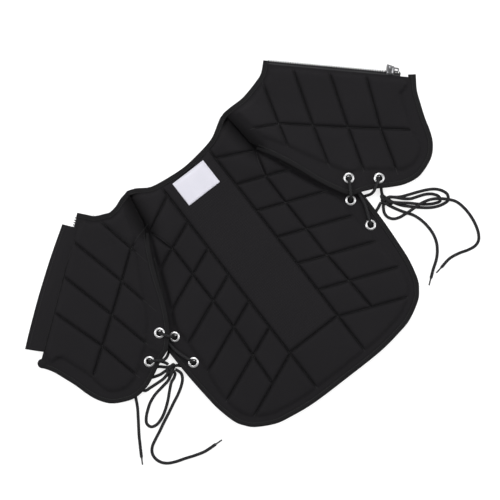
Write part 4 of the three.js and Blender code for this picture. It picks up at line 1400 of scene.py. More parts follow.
@dataclass
class Shell:
    """The vest's three panels with their bound edges."""

    armhole_bare: float = 0.037   # the back's armholes have no tape this far from their upper ends
    hem_end: Triple = (0.0078, 0.0084, 0.0044)        # radii of the left hem's rolled end
    hem_end_spot: Pair = (0.2482, 0.0032)             # along and across
    hem_end_mesh: tuple[int, int] = (20, 12)
    tape_past: float = 0.003      # tapes run this far past the zip's edge
    hem_flare: float = 1.5        # the right hem's tape widens to the zip
    seam_tape: float = 0.5        # a front's tape narrows to the shoulder seam
    seam_bound: float = 0.0
    zip_span: Pair = (0.03, 0.226)                    # the zip's border runs between these
    panels: dict[str, QuiltedPanel] = field(default_factory=dict)

    def back_edge(self) -> EdgeLine:
        """Open edge of the back: right armhole, side, hem, and back up the left.

        Returns:
            The edge.
        """
        right = EdgeLine.through(BACK_ARMHOLE).then(EdgeLine.through(BACK_SIDE))
        left = EdgeLine(right.xy[::-1] * (-1, 1), right.border[::-1], right.bound[::-1])
        edge = right.then(left)
        bare = self.bare_count()
        edge.bound[:bare] = 0
        edge.bound[-bare - 1:] = 0
        return edge

    def bare_count(self) -> int:
        """Points of the back's edge without tape at each armhole's upper end, under the fronts."""
        return round(self.armhole_bare / EdgeLine.STEP)

    def back_seams(self) -> list[Points]:
        """Seams of the back.

        Returns:
            Points of each seam.
        """
        seams = [np.array([(-SPINE_HALF, SPINE_FOOT), (SPINE_HALF, SPINE_FOOT)])]
        for sign in (1, -1):
            seams.append(np.array([(sign * SPINE_HALF, y) for y in SPINE_SEAM]))
            seams.append(np.array(BACK_MID_SEAM) * (sign, 1))
            for row, (x, slope) in enumerate(CROSS_ENDS):
                start = CROSS_TOP - CROSS_PITCH * row
                end = start + slope * (x - SPINE_HALF)
                seams.append(np.array([(sign * SPINE_HALF, start), (sign * x, end)]))
        return seams

    def front_edge(self, line: ZipLine) -> tuple[EdgeLine, EdgeLine]:
        """Edges of a front.

        Args:
            line: The front's frame.

        Returns:
            The bound edge from the hem to the shoulder seam, and the edge along the neck and down the zip.
        """
        hem = line.hem()
        armhole = np.concatenate([hem[-1:], np.array(FRONT_ARMHOLE) * (line.sign, 1, 1)])
        neck = NECK_RIGHT[::-1] if line.side is Side.RIGHT else NECK_LEFT
        bound = EdgeLine.through(hem).then(EdgeLine.through(armhole, self.seam_bound))
        places = np.array([line.point(along, 0) for along in self.zip_span])
        beside_zip = EdgeLine(places, np.full(2, line.zip_border), np.full(2, line.zip_bound))
        return bound, EdgeLine.through(neck, line.zip_bound).beside(beside_zip)

    def build(self) -> None:
        """Makes the panels, their tapes and their stitches."""
        edge = self.back_edge()
        loop = edge.beside(EdgeLine.through(NECK_BACK[::-1], self.seam_bound))
        spots = [np.array([sign * x, y]) for sign in (1, -1) for x, y in BACK_EYELETS.values()]
        seams = self.back_seams()
        self.panels["back"] = QuiltedPanel("back_panel", loop, seams, spots, Lay.back, has_mesh=True)
        skip = self.bare_count()
        tapes = [BoundEdge("back_binding", edge.xy[skip:-skip], loop.turn_sign(), Lay.back)]
        neck = EdgeLine.through(NECK_RIGHT)
        for rows in (NECK_BACK[1:-1], NECK_LEFT):
            neck = neck.then(EdgeLine.through(rows))
        throat_line = lengthen(neck.xy, self.tape_past, self.tape_past)
        tapes.append(BoundEdge("neck_binding", throat_line, 1.0, Lay.neck))
        for side, line in ZIP_LINES.items():
            bound, throat = self.front_edge(line)
            loop = bound.beside(throat)
            seams = [line.points(seam) for seam in (FRONT_MID_SEAM, *FRONT_CROSS_SEAMS)]
            spots = [line.point(*spot) for spot in FRONT_EYELETS.values()]
            lift = Lay.front(line)
            self.panels[side.value] = QuiltedPanel(f"front_panel_{side.value}", loop, seams, spots, lift)
            flared = side is Side.RIGHT
            hem_line = lengthen(bound.xy, self.tape_past if flared else 0, 0)
            tapes.append(BoundEdge(f"front_binding_{side.value}", hem_line, loop.turn_sign(), lift,
                                   start_width=self.hem_flare if flared else 1.0, end_width=self.seam_tape))
        for panel in self.panels.values():
            panel.build()
            panel.sew()
        for tape in tapes:
            tape.build()
            tape.sew()
        self.build_hem_end()

    def build_hem_end(self) -> bpy.types.Object:
        """Makes the turned-in end of the left hem's tape, a small roll at the zip.

        Returns:
            The piece.
        """
        bm = bmesh.new()
        round_count, long_count = self.hem_end_mesh
        bmesh.ops.create_uvsphere(bm, u_segments=round_count, v_segments=long_count, radius=1)
        bmesh.ops.scale(bm, verts=bm.verts[:], vec=self.hem_end)
        turn = Matrix.Rotation(math.radians(ZIP_LINES[Side.LEFT].turn), 4, "Z")
        bmesh.ops.rotate(bm, verts=bm.verts[:], cent=(0, 0, 0), matrix=turn)
        spot = ZIP_LINES[Side.LEFT].point(*self.hem_end_spot)
        bmesh.ops.translate(bm, verts=bm.verts[:], vec=(*spot, MID))
        return put(bm, "hem_end_left", EDGE_TAPE)


@dataclass
class NeckLabel:
    """Bare woven label, sewn on inside the back of the neck."""

    panel: QuiltedPanel
    left: float = -0.031
    right: float = 0.031
    bottom: float = 0.159
    top: float = 0.203
    thick: float = 0.0007
    inset: float = 0.0018
    columns: int = 32
    rows: int = 24

    def height(self, xy: Points) -> np.ndarray:
        """Height of the label's upper face."""
        return self.panel.top(xy) + GAP + self.thick

    def build(self) -> None:
        """Makes the label and its stitches."""
        bm = bmesh.new()
        bmesh.ops.create_grid(bm, x_segments=self.columns, y_segments=self.rows, size=0.5)
        middle = Vector(((self.left + self.right) / 2, (self.bottom + self.top) / 2, 0))
        bmesh.ops.scale(bm, verts=bm.verts[:], vec=(self.right - self.left, self.top - self.bottom, 1))
        bmesh.ops.translate(bm, verts=bm.verts[:], vec=middle)
        levels = self.height(np.array([v.co[:2] for v in bm.verts]))
        for vert, level in zip(bm.verts, levels):
            vert.co.z = level
        face_out(bm)
        bmesh.ops.solidify(bm, geom=bm.faces[:], thickness=self.thick)
        face_out(bm)
        label = put(bm, "neck_label_cloth", LABEL_CLOTH, ["neck_label"])
        x0, x1 = self.left + self.inset, self.right - self.inset
        y0, y1 = self.bottom + self.inset, self.top - self.inset
        corners = np.array([(x0, y0), (x1, y0), (x1, y1), (x0, y1), (x0, y0)])
        stitching = Stitching(length=0.0018, width=0.0003, pitch=0.0024, rise=0.0001)
        rows = [stitching.row(np.array(pair), self.height) for pair in zip(corners, corners[1:])]
        stitching.sew("neck_label_thread", rows, LABEL_THREAD)


@dataclass
class Eyelets:
    """The eight rolled eyelets of the side lacing."""

    hole: float = 0.0043
    flange: float = 0.0088
    barrel: float = 0.0049
    half: float = 0.003
    seat: float = 0.0022
    edge: Pair = (0.0002, 0.0003)                     # the flange's edge is rounded in and up
    outer_roll: Table = ((0.0008, -0.0002), (0.0018, 0.0003))  # in, over the half
    crest: float = 0.0006         # height of the roll over the half
    inner_roll: Table = (         # out from the hole, over the half
        (0.0012, 0.0003), (0.0003, -0.0005), (0.0, -0.0016),
    )
    painted_bore_shade_rim: float = 0.0008      # painted shade in the bore reaches this far out from the hole
    segments: int = 40

    def section(self) -> list[Pair]:
        """Corners of the rolled ring's section.

        Returns:
            Pairs of radius and height.
        """
        upper = [
            (self.barrel, self.seat), (self.flange - self.edge[0], self.seat),
            (self.flange, self.seat + self.edge[1]),
            *((self.flange - inward, self.half + rise) for inward, rise in self.outer_roll),
            ((self.flange + self.hole) / 2, self.half + self.crest),
            *((self.hole + out, self.half + rise) for out, rise in self.inner_roll),
        ]
        return upper + [(r, -z) for r, z in reversed(upper)]

    def ring(self, place: Vector) -> bmesh.types.BMesh:
        """Spins one ring.

        Args:
            place: Middle of the ring.

        Returns:
            The ring's mesh.
        """
        bm = bmesh.new()
        corners = [bm.verts.new((r, 0, z)) for r, z in self.section()]
        edges = [bm.edges.new((a, b)) for a, b in zip(corners, corners[1:] + corners[:1])]
        bmesh.ops.spin(bm, geom=corners + edges, cent=(0, 0, 0), axis=(0, 0, 1), angle=2 * math.pi,
                       steps=self.segments, use_merge=True)
        bmesh.ops.remove_doubles(bm, verts=bm.verts[:], dist=1e-6)
        face_out(bm)
        # bore attribute: painted shade on the inner wall of the hole
        painted_bore_shade = bm.verts.layers.float.new("painted_bore_shade")
        for vert in bm.verts:
            vert[painted_bore_shade] = float(vert.co.xy.length < self.hole + self.painted_bore_shade_rim)
        bmesh.ops.translate(bm, verts=bm.verts[:], vec=place)
        return bm

    @staticmethod
    def places() -> dict[str, Vector]:
        """Middles of the eyelets.

        Returns:
            Places by node.
        """
        found = {}
        for side, line in ZIP_LINES.items():
            for level, spot in FRONT_EYELETS.items():
                front = line.point(*spot)
                lift = float(Lay.front(line)(front[None])[0])
                found[f"eyelet_front_{side.value}_{level}"] = Vector((*front, MID + lift))
                x, y = BACK_EYELETS[level]
                found[f"eyelet_back_{side.value}_{level}"] = Vector((line.sign * x, y, MID))
        return found

    def build(self) -> None:
        """Makes all eyelets."""
        for node, place in self.places().items():
            put(self.ring(place), node + "_ring", NICKEL, [node])


@dataclass
class FrontZip:
    """The open front zip: tapes, teeth, slider, pull and wind flap."""

    start: float = 0.007
    end: float = 0.221
    pitch: float = 0.0039
    tape: Triple = (0.0049, -0.0023, 0.0006)          # inner and outer edge, half thickness
    tape_rings: int = 60
    bead: float = 0.0011
    bead_run: Pair = (0.001, 0.0016)                  # the bead's top and foot end this far in
    tooth: Triple = (0.0035, 0.0029, 0.0026)          # along, across, high
    tooth_across: float = -0.0012
    head: Triple = (0.0018, 0.0032, 0.0034)
    head_across: float = -0.0032
    tooth_bevel: float = 0.0003
    slider_back: Table = (        # along and across
        (0.1984, 0.0013), (0.2096, 0.0013), (0.2096, -0.0116), (0.1984, -0.0144),
    )
    slider_top: float = 0.0108
    slider_corner: float = 0.0026
    corner_segments: int = 5
    slider_rim: float = 0.0005
    slider_slope: float = 0.0024
    slider_crown: float = 0.0011
    metal_bevel: float = 0.0003
    flap_start: float = 0.024
    flap_end: float = 0.2293
    flap_across: Table = (        # across and share of the droop
        (0.0085, 0.14), (0.005, 0.04), (0.0, 0.0), (-0.0045, 0.02), (-0.0085, 0.14), (-0.0125, 0.46),
        (-0.0168, 0.82), (-0.0208, 1.0),
    )
    flap_top: float = 0.0222      # reach past the teeth at the top
    flap_full: float = 0.031      # widest reach
    flap_full_share: float = 0.78                     # share of the length where it is widest
    flap_cut: float = 0.033       # width of the cloth
    flap_slant: float = 0.13      # slope of its foot
    flap_inner: Table = (         # along, width of its sewn edge as a share
        (0.024, 1.2), (0.045, 0.85), (0.062, 0.45), (0.087, 0.15), (0.231, 0.12),
    )
    flap_base: float = 0.0096
    flap_thick: float = 0.0016
    flap_droop: float = 0.0065
    flap_ripple: Triple = (0.0004, 95, 0.015)         # height, radians in a metre, full reach
    flap_stitches: Pair = (0.0065, -0.0165)           # places of the two rows across the flap
    flap_stitch_end: float = 0.004                    # the rows end this far from its ends
    flap_rows: int = 70
    flap_columns: int = 20

    def build_tape(self, line: ZipLine) -> None:
        """Makes one half's woven tape, with the bead that carries the teeth.

        Args:
            line: The front's frame.
        """
        inner, outer, half = self.tape
        top, foot = (outer + way for way in self.bead_run)
        upper = [(inner, half), (foot, half), (top, self.bead), (outer, self.bead)]
        section = upper + [(across, -z) for across, z in reversed(upper)]
        rings = []
        for along in np.linspace(self.start, self.end, self.tape_rings):
            rings.append([(*line.point(along, across), MID + z) for across, z in section])
        node = f"zip_tape_{line.side.value}"
        put(sweep(np.array(rings)), node + "_weave", ZIP_WEAVE, [node])

    def build_teeth(self, line: ZipLine) -> None:
        """Makes one half's row of teeth as one joined mesh.

        Args:
            line: The front's frame.
        """
        one = bmesh.new()
        for size, across in ((self.tooth, self.tooth_across), (self.head, self.head_across)):
            box = bmesh.ops.create_cube(one, size=1)["verts"]
            bmesh.ops.scale(one, verts=box, vec=size)
            bmesh.ops.translate(one, verts=box, vec=(0, across, 0))
        bmesh.ops.bevel(one, geom=one.edges[:], offset=self.tooth_bevel, affect="EDGES",
                        segments=1, profile=0.5, material=-1)
        corners = np.array([v.co for v in one.verts])
        faces = [[v.index for v in f.verts] for f in one.faces]
        one.free()
        places = []
        for along in np.arange(self.start + self.pitch / 2, self.end, self.pitch):
            places.append([(*line.point(along + x, y), MID + z) for x, y, z in corners])
        node = f"zip_teeth_{line.side.value}"
        put(joined(np.array(places), faces), node + "_row", TOOTH_PLASTIC, [node])

    def flap_height(self, across: np.ndarray) -> np.ndarray:
        """Height of the flap's upper face across it, before it widens to the hem."""
        droop = np.interp(across, *np.array(self.flap_across)[::-1].T)
        return self.flap_base + self.flap_thick - self.flap_droop * droop

    def flap_point(self, along: float, across: float) -> Triple:
        """Place on the flap's upper face.

        Args:
            along: Distance along the zip.
            across: Distance across it, before the flap widens to the hem.

        Returns:
            X, Y and Z.
        """
        share = (along - self.flap_start) / (self.flap_end - self.flap_start)
        narrow = (share / self.flap_full_share - 1) ** 2
        reach = self.flap_full + (self.flap_top - self.flap_full) * narrow
        sewn = float(np.interp(along, *np.array(self.flap_inner).T))
        wide = across * (reach / -self.flap_across[-1][0] if across < 0 else sewn)
        along -= self.flap_slant * min(wide, 0.0) * share
        height, turn, reach = self.flap_ripple
        ripple = height * math.sin(along * turn) * min(1.0, max(0.0, -across / reach))
        x, y = ZIP_LINES[Side.LEFT].point(along, wide)
        return x, y, float(self.flap_height(np.array([across]))[0]) + ripple

    def build_flap(self) -> None:
        """Makes the wind flap that covers the left half, with its hem's stitches."""
        inner, outer = self.flap_across[0][0], self.flap_across[-1][0]
        bm = bmesh.new()
        bmesh.ops.create_grid(bm, x_segments=self.flap_rows, y_segments=self.flap_columns, size=0.5)
        for vert in bm.verts:
            along = self.flap_start + (vert.co.x + 0.5) * (self.flap_end - self.flap_start)
            vert.co = self.flap_point(along, inner + (vert.co.y + 0.5) * (outer - inner))
        face_out(bm)
        if sum(f.normal.z for f in bm.faces) < 0:
            bmesh.ops.reverse_faces(bm, faces=bm.faces[:])
        bmesh.ops.solidify(bm, geom=bm.faces[:], thickness=self.flap_thick)
        face_out(bm)
        flap = put(bm, "zip_flap_cloth", LINING, ["zip_flap"])
        stitching = Stitching()
        ends = []
        first, last = self.flap_start + self.flap_stitch_end, self.flap_end - self.flap_stitch_end
        for across in self.flap_stitches:
            along = np.arange(first, last, stitching.pitch)
            pairs = [[self.flap_point(a + way, across) for way in (0, stitching.length)] for a in along]
            ends.append(np.array(pairs) + (0, 0, stitching.rise))
        stitching.sew("zip_flap_thread", ends, THREAD)

    def build_crown(self) -> bpy.types.Object:
        """Makes the slider's raised back, rounded at its corners and sloped at its rim.

        Returns:
            The piece.
        """
        line = ZIP_LINES[Side.RIGHT]
        bm = bmesh.new()
        corners = [bm.verts.new((*line.point(*spot), self.slider_top)) for spot in self.slider_back]
        bm.faces.new(corners)
        bmesh.ops.bevel(bm, geom=corners, offset=self.slider_corner, affect="VERTICES",
                        segments=self.corner_segments, profile=0.5, material=-1)
        raised = bmesh.ops.extrude_face_region(bm, geom=bm.faces[:])["geom"]
        rim = [g for g in raised if isinstance(g, bmesh.types.BMVert)]
        bmesh.ops.translate(bm, verts=rim, vec=(0, 0, self.slider_rim))
        face_out(bm)
        back = max(bm.faces, key=lambda face: face.calc_center_median().z)
        bmesh.ops.inset_region(bm, faces=[back], thickness=self.slider_slope, depth=self.slider_crown,
                               use_even_offset=True)
        return put(bm, "zip_slider_crown", SLIDER_METAL, body=Body.SLIDER)

    def dress_slider(self) -> None:
        """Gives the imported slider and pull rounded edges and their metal."""
        for node in ("zip_slider", "zip_pull"):
            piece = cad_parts[node]
            piece.data.materials.clear()
            piece.data.materials.append(SLIDER_METAL.material())
            weld = piece.modifiers.new("weld", "WELD")
            weld.merge_threshold = 1e-5
            bevel = piece.modifiers.new("bevel", "BEVEL")
            bevel.width = self.metal_bevel
            bevel.segments = 2
            bevel.limit_method = "ANGLE"
            LOG.info("%s: dressed", node)

    def build(self) -> None:
        """Makes both halves of the zip and the flap."""
        for line in ZIP_LINES.values():
            self.build_tape(line)
            self.build_teeth(line)
        self.build_flap()
        self.build_crown()
        self.dress_slider()


@dataclass(frozen=True)
class Bow:
    """Routes of one side's lace: its laced stretch in pieces, loops and tails."""

    knot: Pair
    lean: float                   # direction in which the knot's lobes are drawn out, in degrees
    to_front: Route
    front_edge: Route
    bar: Route
    under_front: Route
    to_back: Route
    loops: dict[str, Route]
    tails: dict[str, Route]


BOWS = {
    Side.RIGHT: Bow(
        knot=(0.222, -0.023),
        lean=-75.0,
        to_front=((0.2255, -0.0132, 0.005), (0.229, -0.007, 0.0064)),
        front_edge=(
            (0.2225, 0.0008, 0.0205), (0.217, -0.0024, 0.02), (0.2125, -0.004, 0.0125),
            (0.208, -0.0036, 0.005), (0.203, -0.0018, LAY),
        ),
        bar=((0.1803, 0.011, 0.0178), (0.1815, 0.013, 0.0238), (0.1846, 0.018, 0.0258)),
        under_front=((0.195, 0.014, 0.0129), (0.193, -0.008, 0.0129)),
        to_back=((0.201, -0.031, LAY), (0.2075, -0.0285, LAY), (0.2123, -0.026, 0.0035)),
        loops={
            "a": (
                (0.2325, -0.0275, 0.0034), (0.245, -0.0365, LAY), (0.259, -0.0425, LAY),
                (0.274, -0.0485, LAY), (0.287, -0.0545, LAY), (0.297, -0.061, LAY),
                (0.3045, -0.07, LAY), (0.3075, -0.08, LAY), (0.3025, -0.088, LAY), (0.292, -0.088, LAY),
                (0.281, -0.0845, LAY), (0.27, -0.078, LAY), (0.258, -0.068, LAY), (0.247, -0.0575, LAY),
                (0.238, -0.048, LAY), (0.2295, -0.0345, 0.0034),
            ),
            "b": (
                (0.2315, -0.0265, 0.0096), (0.2385, -0.033, 0.0088), (0.247, -0.042, 0.0062),
                (0.257, -0.0495, LAY), (0.269, -0.054, LAY), (0.28, -0.0585, LAY), (0.289, -0.065, LAY),
                (0.2945, -0.074, LAY), (0.292, -0.081, LAY), (0.283, -0.079, LAY),
                (0.272, -0.0725, LAY), (0.261, -0.0635, LAY), (0.25, -0.053, LAY),
                (0.24, -0.045, 0.0064), (0.2315, -0.0375, 0.009), (0.226, -0.032, 0.01),
            ),
        },
        tails={
            "a": (
                (0.2145, -0.032, 0.0034), (0.2095, -0.041, LAY), (0.2095, -0.05, LAY),
                (0.215, -0.058, LAY), (0.224, -0.062, 0.0032), (0.232, -0.063, 0.0059),
                (0.242, -0.064, OVER), (0.254, -0.0645, OVER), (0.266, -0.0655, OVER),
                (0.279, -0.069, OVER), (0.291, -0.076, OVER), (0.302, -0.086, OVER),
                (0.311, -0.097, 0.0044), (0.315, -0.11, LAY), (0.316, -0.127, LAY),
                (0.3135, -0.146, LAY), (0.308, -0.161, LAY), (0.301, -0.1695, LAY),
                (0.292, -0.1725, LAY), (0.28, -0.171, LAY), (0.264, -0.166, LAY), (0.247, -0.1635, LAY),
                (0.229, -0.1665, LAY),
            ),
            "b": (
                (0.2215, -0.0333, 0.003), (0.225, -0.042, LAY), (0.231, -0.053, LAY),
                (0.238, -0.064, LAY), (0.244, -0.073, LAY), (0.2485, -0.085, LAY), (0.251, -0.1, LAY),
                (0.2505, -0.116, LAY), (0.2465, -0.13, LAY), (0.239, -0.142, LAY), (0.229, -0.152, LAY),
                (0.216, -0.161, LAY), (0.205, -0.1695, LAY),
            ),
        },
    ),
    Side.LEFT: Bow(
        knot=(-0.213, -0.028),
        lean=-147.0,
        to_front=((-0.215, -0.0175, 0.005), (-0.22, -0.01, 0.0064)),
        front_edge=(
            (-0.2205, -0.0055, 0.0205), (-0.215, -0.0096, 0.02), (-0.2105, -0.0106, 0.0125),
            (-0.206, -0.009, 0.005), (-0.2015, -0.006, LAY),
        ),
        bar=((-0.1802, 0.0104, 0.0178), (-0.1813, 0.012, 0.0238), (-0.1844, 0.0162, 0.0258)),
        under_front=((-0.192, 0.01, 0.0129), (-0.19, -0.01, 0.0129)),
        to_back=((-0.1995, -0.035, LAY), (-0.2035, -0.031, 0.0034)),
        loops={
            "a": (
                (-0.2195, -0.0355, 0.0032), (-0.229, -0.041, LAY), (-0.243, -0.0435, LAY),
                (-0.259, -0.046, LAY), (-0.273, -0.051, LAY), (-0.284, -0.058, LAY),
                (-0.294, -0.0665, LAY), (-0.2995, -0.075, LAY), (-0.2975, -0.083, LAY),
                (-0.289, -0.086, LAY), (-0.276, -0.083, LAY), (-0.263, -0.076, LAY),
                (-0.249, -0.0655, LAY), (-0.237, -0.0545, LAY), (-0.227, -0.0465, LAY),
                (-0.2195, -0.0435, LAY), (-0.2145, -0.0395, LAY),
            ),
            "b": (
                (-0.224, -0.0265, 0.005), (-0.234, -0.026, LAY), (-0.244, -0.023, LAY),
                (-0.255, -0.0185, LAY), (-0.265, -0.0175, LAY), (-0.272, -0.0235, LAY),
                (-0.2695, -0.0315, LAY), (-0.259, -0.033, LAY), (-0.246, -0.034, LAY),
                (-0.234, -0.0345, LAY), (-0.223, -0.032, 0.0044),
            ),
        },
        tails={
            "a": (
                (-0.2215, -0.0205, 0.004), (-0.229, -0.014, LAY), (-0.24, -0.0105, LAY),
                (-0.254, -0.0085, LAY), (-0.268, -0.009, LAY), (-0.279, -0.014, LAY),
                (-0.2855, -0.026, LAY), (-0.294, -0.043, LAY), (-0.306, -0.061, LAY),
                (-0.32, -0.081, LAY), (-0.33, -0.097, LAY), (-0.339, -0.112, LAY),
            ),
            "b": (
                (-0.2083, -0.0372, 0.0044), (-0.2065, -0.045, LAY), (-0.21, -0.053, LAY),
                (-0.218, -0.0605, LAY), (-0.23, -0.068, LAY), (-0.246, -0.0755, LAY),
                (-0.263, -0.084, LAY), (-0.276, -0.09, LAY), (-0.29, -0.097, LAY),
                (-0.304, -0.1035, LAY), (-0.315, -0.1095, LAY), (-0.3215, -0.1175, LAY),
                (-0.323, -0.127, LAY), (-0.32, -0.137, LAY), (-0.313, -0.145, LAY),
                (-0.301, -0.1515, LAY), (-0.285, -0.157, LAY), (-0.269, -0.163, LAY),
                (-0.253, -0.1675, LAY), (-0.233, -0.169, LAY),
            ),
        },
    ),
}


@dataclass
class SideLace:
    """One side's lace: the stretch through the eyelets, the bow's knot, loops and tails with their tips."""

    side: Side
    radius: float = 0.0025
    sides: int = 12
    step: float = 0.0016
    knot_radii: Triple = (0.0095, 0.0084, 0.005)
    knot_height: float = 0.0053
    lobe_radii: Triple = (0.0135, 0.0076, 0.005)
    lobe_shift: float = 0.0042    # the lobes' middle lies this far along the lean
    knot_turns: int = 90
    knot_swell: float = 1.05      # thickness of the lace in the knot, as a share
    knot_hold: float = 0.8        # strands start this far out in the knot, as a share of its size
    tip_length: float = 0.014
    tip_radius: float = 0.0013
    tip_rings: int = 14
    tip_over: float = 0.001       # the tip starts this far before the tail's end
    tip_neck: float = 0.35        # share of the tip over which it narrows
    tip_end: Pair = (0.95, 0.7)   # from this share on, it is narrower by this share
    tip_clear: float = 0.0002
    eyelet_half: float = 0.003
    eyelet_clear: float = 0.0058
    eyelet_dip: float = 0.0005    # the lace dips this much where it turns into an eyelet
    eyelet_ways: tuple[float, ...] = (0.0075, 0.0044, 0.0027, 0.0017)  # its distances from the middle there

    @property
    def bow(self) -> Bow:
        """Routes of this side."""
        return BOWS[self.side]

    def tube(self, name: str, line: Points, replaces: Sequence[str]) -> bpy.types.Object:
        """Makes a braided tube along a line.

        Args:
            name: Name of the piece.
            line: Points of its centreline.
            replaces: Nodes that it stands for.

        Returns:
            The piece.
        """
        rings = tube_rings(line, np.full(len(line), self.radius), self.sides)
        rings[..., 2] = np.maximum(rings[..., 2], GAP / 2)
        return put(sweep(rings), name, LACE_BRAID, replaces)

    def knot_middle(self) -> np.ndarray:
        """Middle of the bow's knot."""
        return np.array([*self.bow.knot, self.knot_height])

    def from_knot(self, point: Sequence[float]) -> np.ndarray:
        """Place just inside the knot where a strand starts, on the line to a route's end point."""
        out = np.array(point) - self.knot_middle()
        return self.knot_middle() + out * self.knot_hold / np.linalg.norm(out / np.array(self.knot_radii))

    def through(self, node: str, start: Sequence[float], end: Sequence[float], rise: float,
                count: int) -> list[list[float]]:
        """Way of the lace through an eyelet.

        Args:
            node: The eyelet's node.
            start: Point that the lace comes from.
            end: Point that it goes to.
            rise: +1 where it comes up through the eyelet, and -1 where it goes down.
            count: Points kept on the far side.

        Returns:
            Points of the way.
        """
        place = np.array(Eyelets.places()[node])
        clear = self.eyelet_clear + GAP
        heights = (clear, clear, clear - self.eyelet_dip, self.eyelet_half + GAP)
        passes = list(zip(self.eyelet_ways, heights))
        legs = []
        for point, up in ((start, -rise), (end, rise)):
            away = np.array(point[:2]) - place[:2]
            away /= np.linalg.norm(away)
            legs.append([[*(place[:2] + away * out), place[2] + up * height] for out, height in passes])
        return [*legs[0], place.tolist(), *legs[1][::-1][:count]]

    def laced_line(self) -> Points:
        """Centreline of the stretch through the four eyelets, from the knot and back to it.

        Returns:
            Points of the line.
        """
        bow = self.bow
        front, back = (f"eyelet_{panel}_{self.side.value}_" for panel in ("front", "back"))
        points = [
            self.from_knot(bow.to_front[0]), *bow.to_front,
            *self.through(front + "lower", bow.to_front[1], bow.front_edge[0], 1, 4),
            *bow.front_edge,
            *self.through(back + "upper", bow.front_edge[-1], bow.bar[0], 1, 2),
            *bow.bar,
            *self.through(front + "upper", bow.bar[-1], bow.under_front[0], -1, 4),
            *bow.under_front,
            *self.through(back + "lower", bow.under_front[1], bow.to_back[0], -1, 4),
            *bow.to_back, self.from_knot(bow.to_back[-1]),
        ]
        return route_line(points, self.step)

    def build_knot(self) -> bpy.types.Object:
        """Ties the knot: three lobes that wind over and under each other.

        Returns:
            The piece.
        """
        turn = np.linspace(0, 2 * np.pi, self.knot_turns, endpoint=False)
        first, second = np.sin(turn) + 2 * np.sin(2 * turn), np.cos(turn) - 2 * np.cos(2 * turn)
        curve = np.stack([first / 3, second / 3, -np.sin(3 * turn)], axis=1)
        lean = Matrix.Rotation(math.radians(self.bow.lean), 3, "Z")
        lobes = curve * (np.array(self.lobe_radii) - self.radius) + (self.lobe_shift, 0, 0)
        line = lobes @ np.array(lean).T + self.knot_middle()
        rings = tube_rings(line, np.full(len(line), self.radius * self.knot_swell), self.sides, closed=True)
        return put(sweep(rings, closed=True), f"lace_knot_{self.side.value}_tied", LACE_BRAID,
                   [f"lace_knot_{self.side.value}"])

    def build_tip(self, name: str, line: Points) -> bpy.types.Object:
        """Makes a sealed tip that narrows from a tail's end.

        Args:
            name: Name of the tip's node.
            line: Centreline of the tail.

        Returns:
            The piece.
        """
        ahead = line[-1] - line[-4]
        ahead[2] = 0
        ahead /= np.linalg.norm(ahead)
        share = np.linspace(0, 1, self.tip_rings)
        path = line[-1] + np.outer(share * self.tip_length - self.tip_over, ahead)
        radius = self.tip_radius + (self.radius - self.tip_radius) * (1 - smooth(share, 0, self.tip_neck))
        radius *= np.where(share > self.tip_end[0], self.tip_end[1], 1)
        path[:, 2] = radius + self.tip_clear
        path[0, 2] = line[-1][2]
        return put(sweep(tube_rings(path, radius, self.sides)), name + "_film", TIP_FILM, [name])

    def build(self) -> None:
        """Makes the lace."""
        side = self.side.value
        knot = self.build_knot()
        self.tube(f"lacing_{side}_braid", self.laced_line(), [f"lacing_{side}"])
        for key, points in self.bow.loops.items():
            line = route_line([self.from_knot(points[0]), *points, self.from_knot(points[-1])], self.step)
            loop = self.tube(f"lace_loop_{side}_{key}_braid", line, [f"lace_loop_{side}_{key}"])
        for key, points in self.bow.tails.items():
            line = route_line([self.from_knot(points[0]), *points], self.step)
            tail = self.tube(f"lace_tail_{side}_{key}_braid", line, [f"lace_tail_{side}_{key}"])
            tip = self.build_tip(f"lace_tip_{side}_{key}", line)
        LOG.info("lace %s tied at %s", side, knot.name)


@dataclass(frozen=True)
class Lamp:
    """A square soft light that points at the frame's origin."""

    name: str
    place: Triple
    size: float
    power: float

    def hang(self) -> None:
        """Makes the light."""
        data = bpy.data.lights.new(self.name, "AREA")
        data.size = self.size
        data.energy = self.power
        lamp = bpy.data.objects.new(self.name, data)
        lamp.location = self.place
        lamp.rotation_euler = (Vector((0, 0, 0)) - Vector(self.place)).to_track_quat("-Z", "Y").to_euler()
        bpy.context.scene.collection.objects.link(lamp)


LAMPS = (
    Lamp("left", (-1.42, 1.1, 1.7), 1.5, 34.0),
    Lamp("right", (1.42, -1.1, 1.7), 1.5, 30.0),
    Lamp("top", (0.95, 1.25, 1.8), 1.5, 46.0),
)


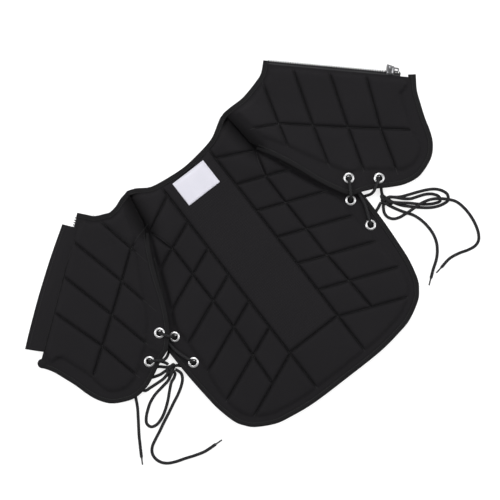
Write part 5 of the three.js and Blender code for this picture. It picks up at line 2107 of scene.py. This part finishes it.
@dataclass
class Studio:
    """Floor, light and camera."""

    view_middle: Pair = (0.0023, 0.0437)
    view_turn: float = -37.8
    view_width: float = 0.8
    view_height: float = 2.0
    view_level: float = 0.01
    sensor: float = 36.0
    floor_size: float = 60.0
    floor_shade: Triple = (0.88, 0.88, 0.88)
    floor_rough: float = 0.9
    floor_glow: float = 0.12
    floor_even: float = 0.6       # share of the floor's white that the camera sees without shadow
    sky: float = 0.42
    horizon: float = 0.8
    sky_fade: float = 0.3

    def build_camera(self) -> None:
        """Sets the camera straight above the vest, turned as the photograph is."""
        data = bpy.data.cameras.new("camera")
        data.sensor_width = self.sensor
        data.lens = self.sensor * self.view_height / self.view_width
        camera = bpy.data.objects.new("camera", data)
        camera.location = (*self.view_middle, self.view_level + self.view_height)
        camera.rotation_euler = (0, 0, math.radians(self.view_turn))
        bpy.context.scene.collection.objects.link(camera)
        bpy.context.scene.camera = camera

    def build_floor(self) -> None:
        """Lays the pale floor."""
        bm = bmesh.new()
        bmesh.ops.create_grid(bm, x_segments=1, y_segments=1, size=self.floor_size / 2)
        mesh = bpy.data.meshes.new("floor")
        bm.to_mesh(mesh)
        bm.free()
        recipe = Recipe("floor")
        even = recipe.math("MULTIPLY", recipe.node("LightPath").outputs["Is Camera Ray"], self.floor_even)
        shaded = recipe.math("SUBTRACT", 1.0, even)
        colour = recipe.node("HueSaturation", {"Color": (*self.floor_shade, 1), "Value": shaded}).outputs[0]
        mesh.materials.append(recipe.surface(
            Base_Color=colour, Roughness=self.floor_rough, Emission_Color=WHITE,
            Emission_Strength=recipe.math("ADD", even, self.floor_glow),
        ))
        floor = bpy.data.objects.new("floor", mesh)
        bpy.context.scene.collection.objects.link(floor)

    def build_light(self) -> None:
        """Hangs the soft lights and sets the pale surroundings."""
        world = bpy.data.worlds.new("studio")
        world.use_nodes = True
        nodes, links = world.node_tree.nodes, world.node_tree.links
        parts = nodes.new("ShaderNodeSeparateXYZ")
        links.new(nodes.new("ShaderNodeTexCoord").outputs["Generated"], parts.inputs[0])
        fade = nodes.new("ShaderNodeMapRange")
        links.new(parts.outputs[2], fade.inputs["Value"])
        fade.inputs["From Max"].default_value = self.sky_fade
        fade.inputs["To Min"].default_value = self.horizon
        fade.inputs["To Max"].default_value = self.sky
        links.new(fade.outputs[0], nodes["Background"].inputs["Strength"])
        nodes["Background"].inputs["Color"].default_value = WHITE
        bpy.context.scene.world = world
        for lamp in LAMPS:
            lamp.hang()
        bpy.context.scene.view_settings.view_transform = "Standard"

    def build(self) -> None:
        """Makes the studio."""
        self.build_camera()
        self.build_floor()
        self.build_light()


def main() -> None:
    """Builds the studio and the vest's pieces in order."""
    logging.basicConfig(level=logging.INFO, format="%(name)s %(message)s")
    Studio().build()
    for side in Side:
        SideLace(side).build()
    Eyelets().build()
    shell = Shell()
    shell.build()
    NeckLabel(shell.panels["back"]).build()
    FrontZip().build()


if __name__ == "__main__":
    main()
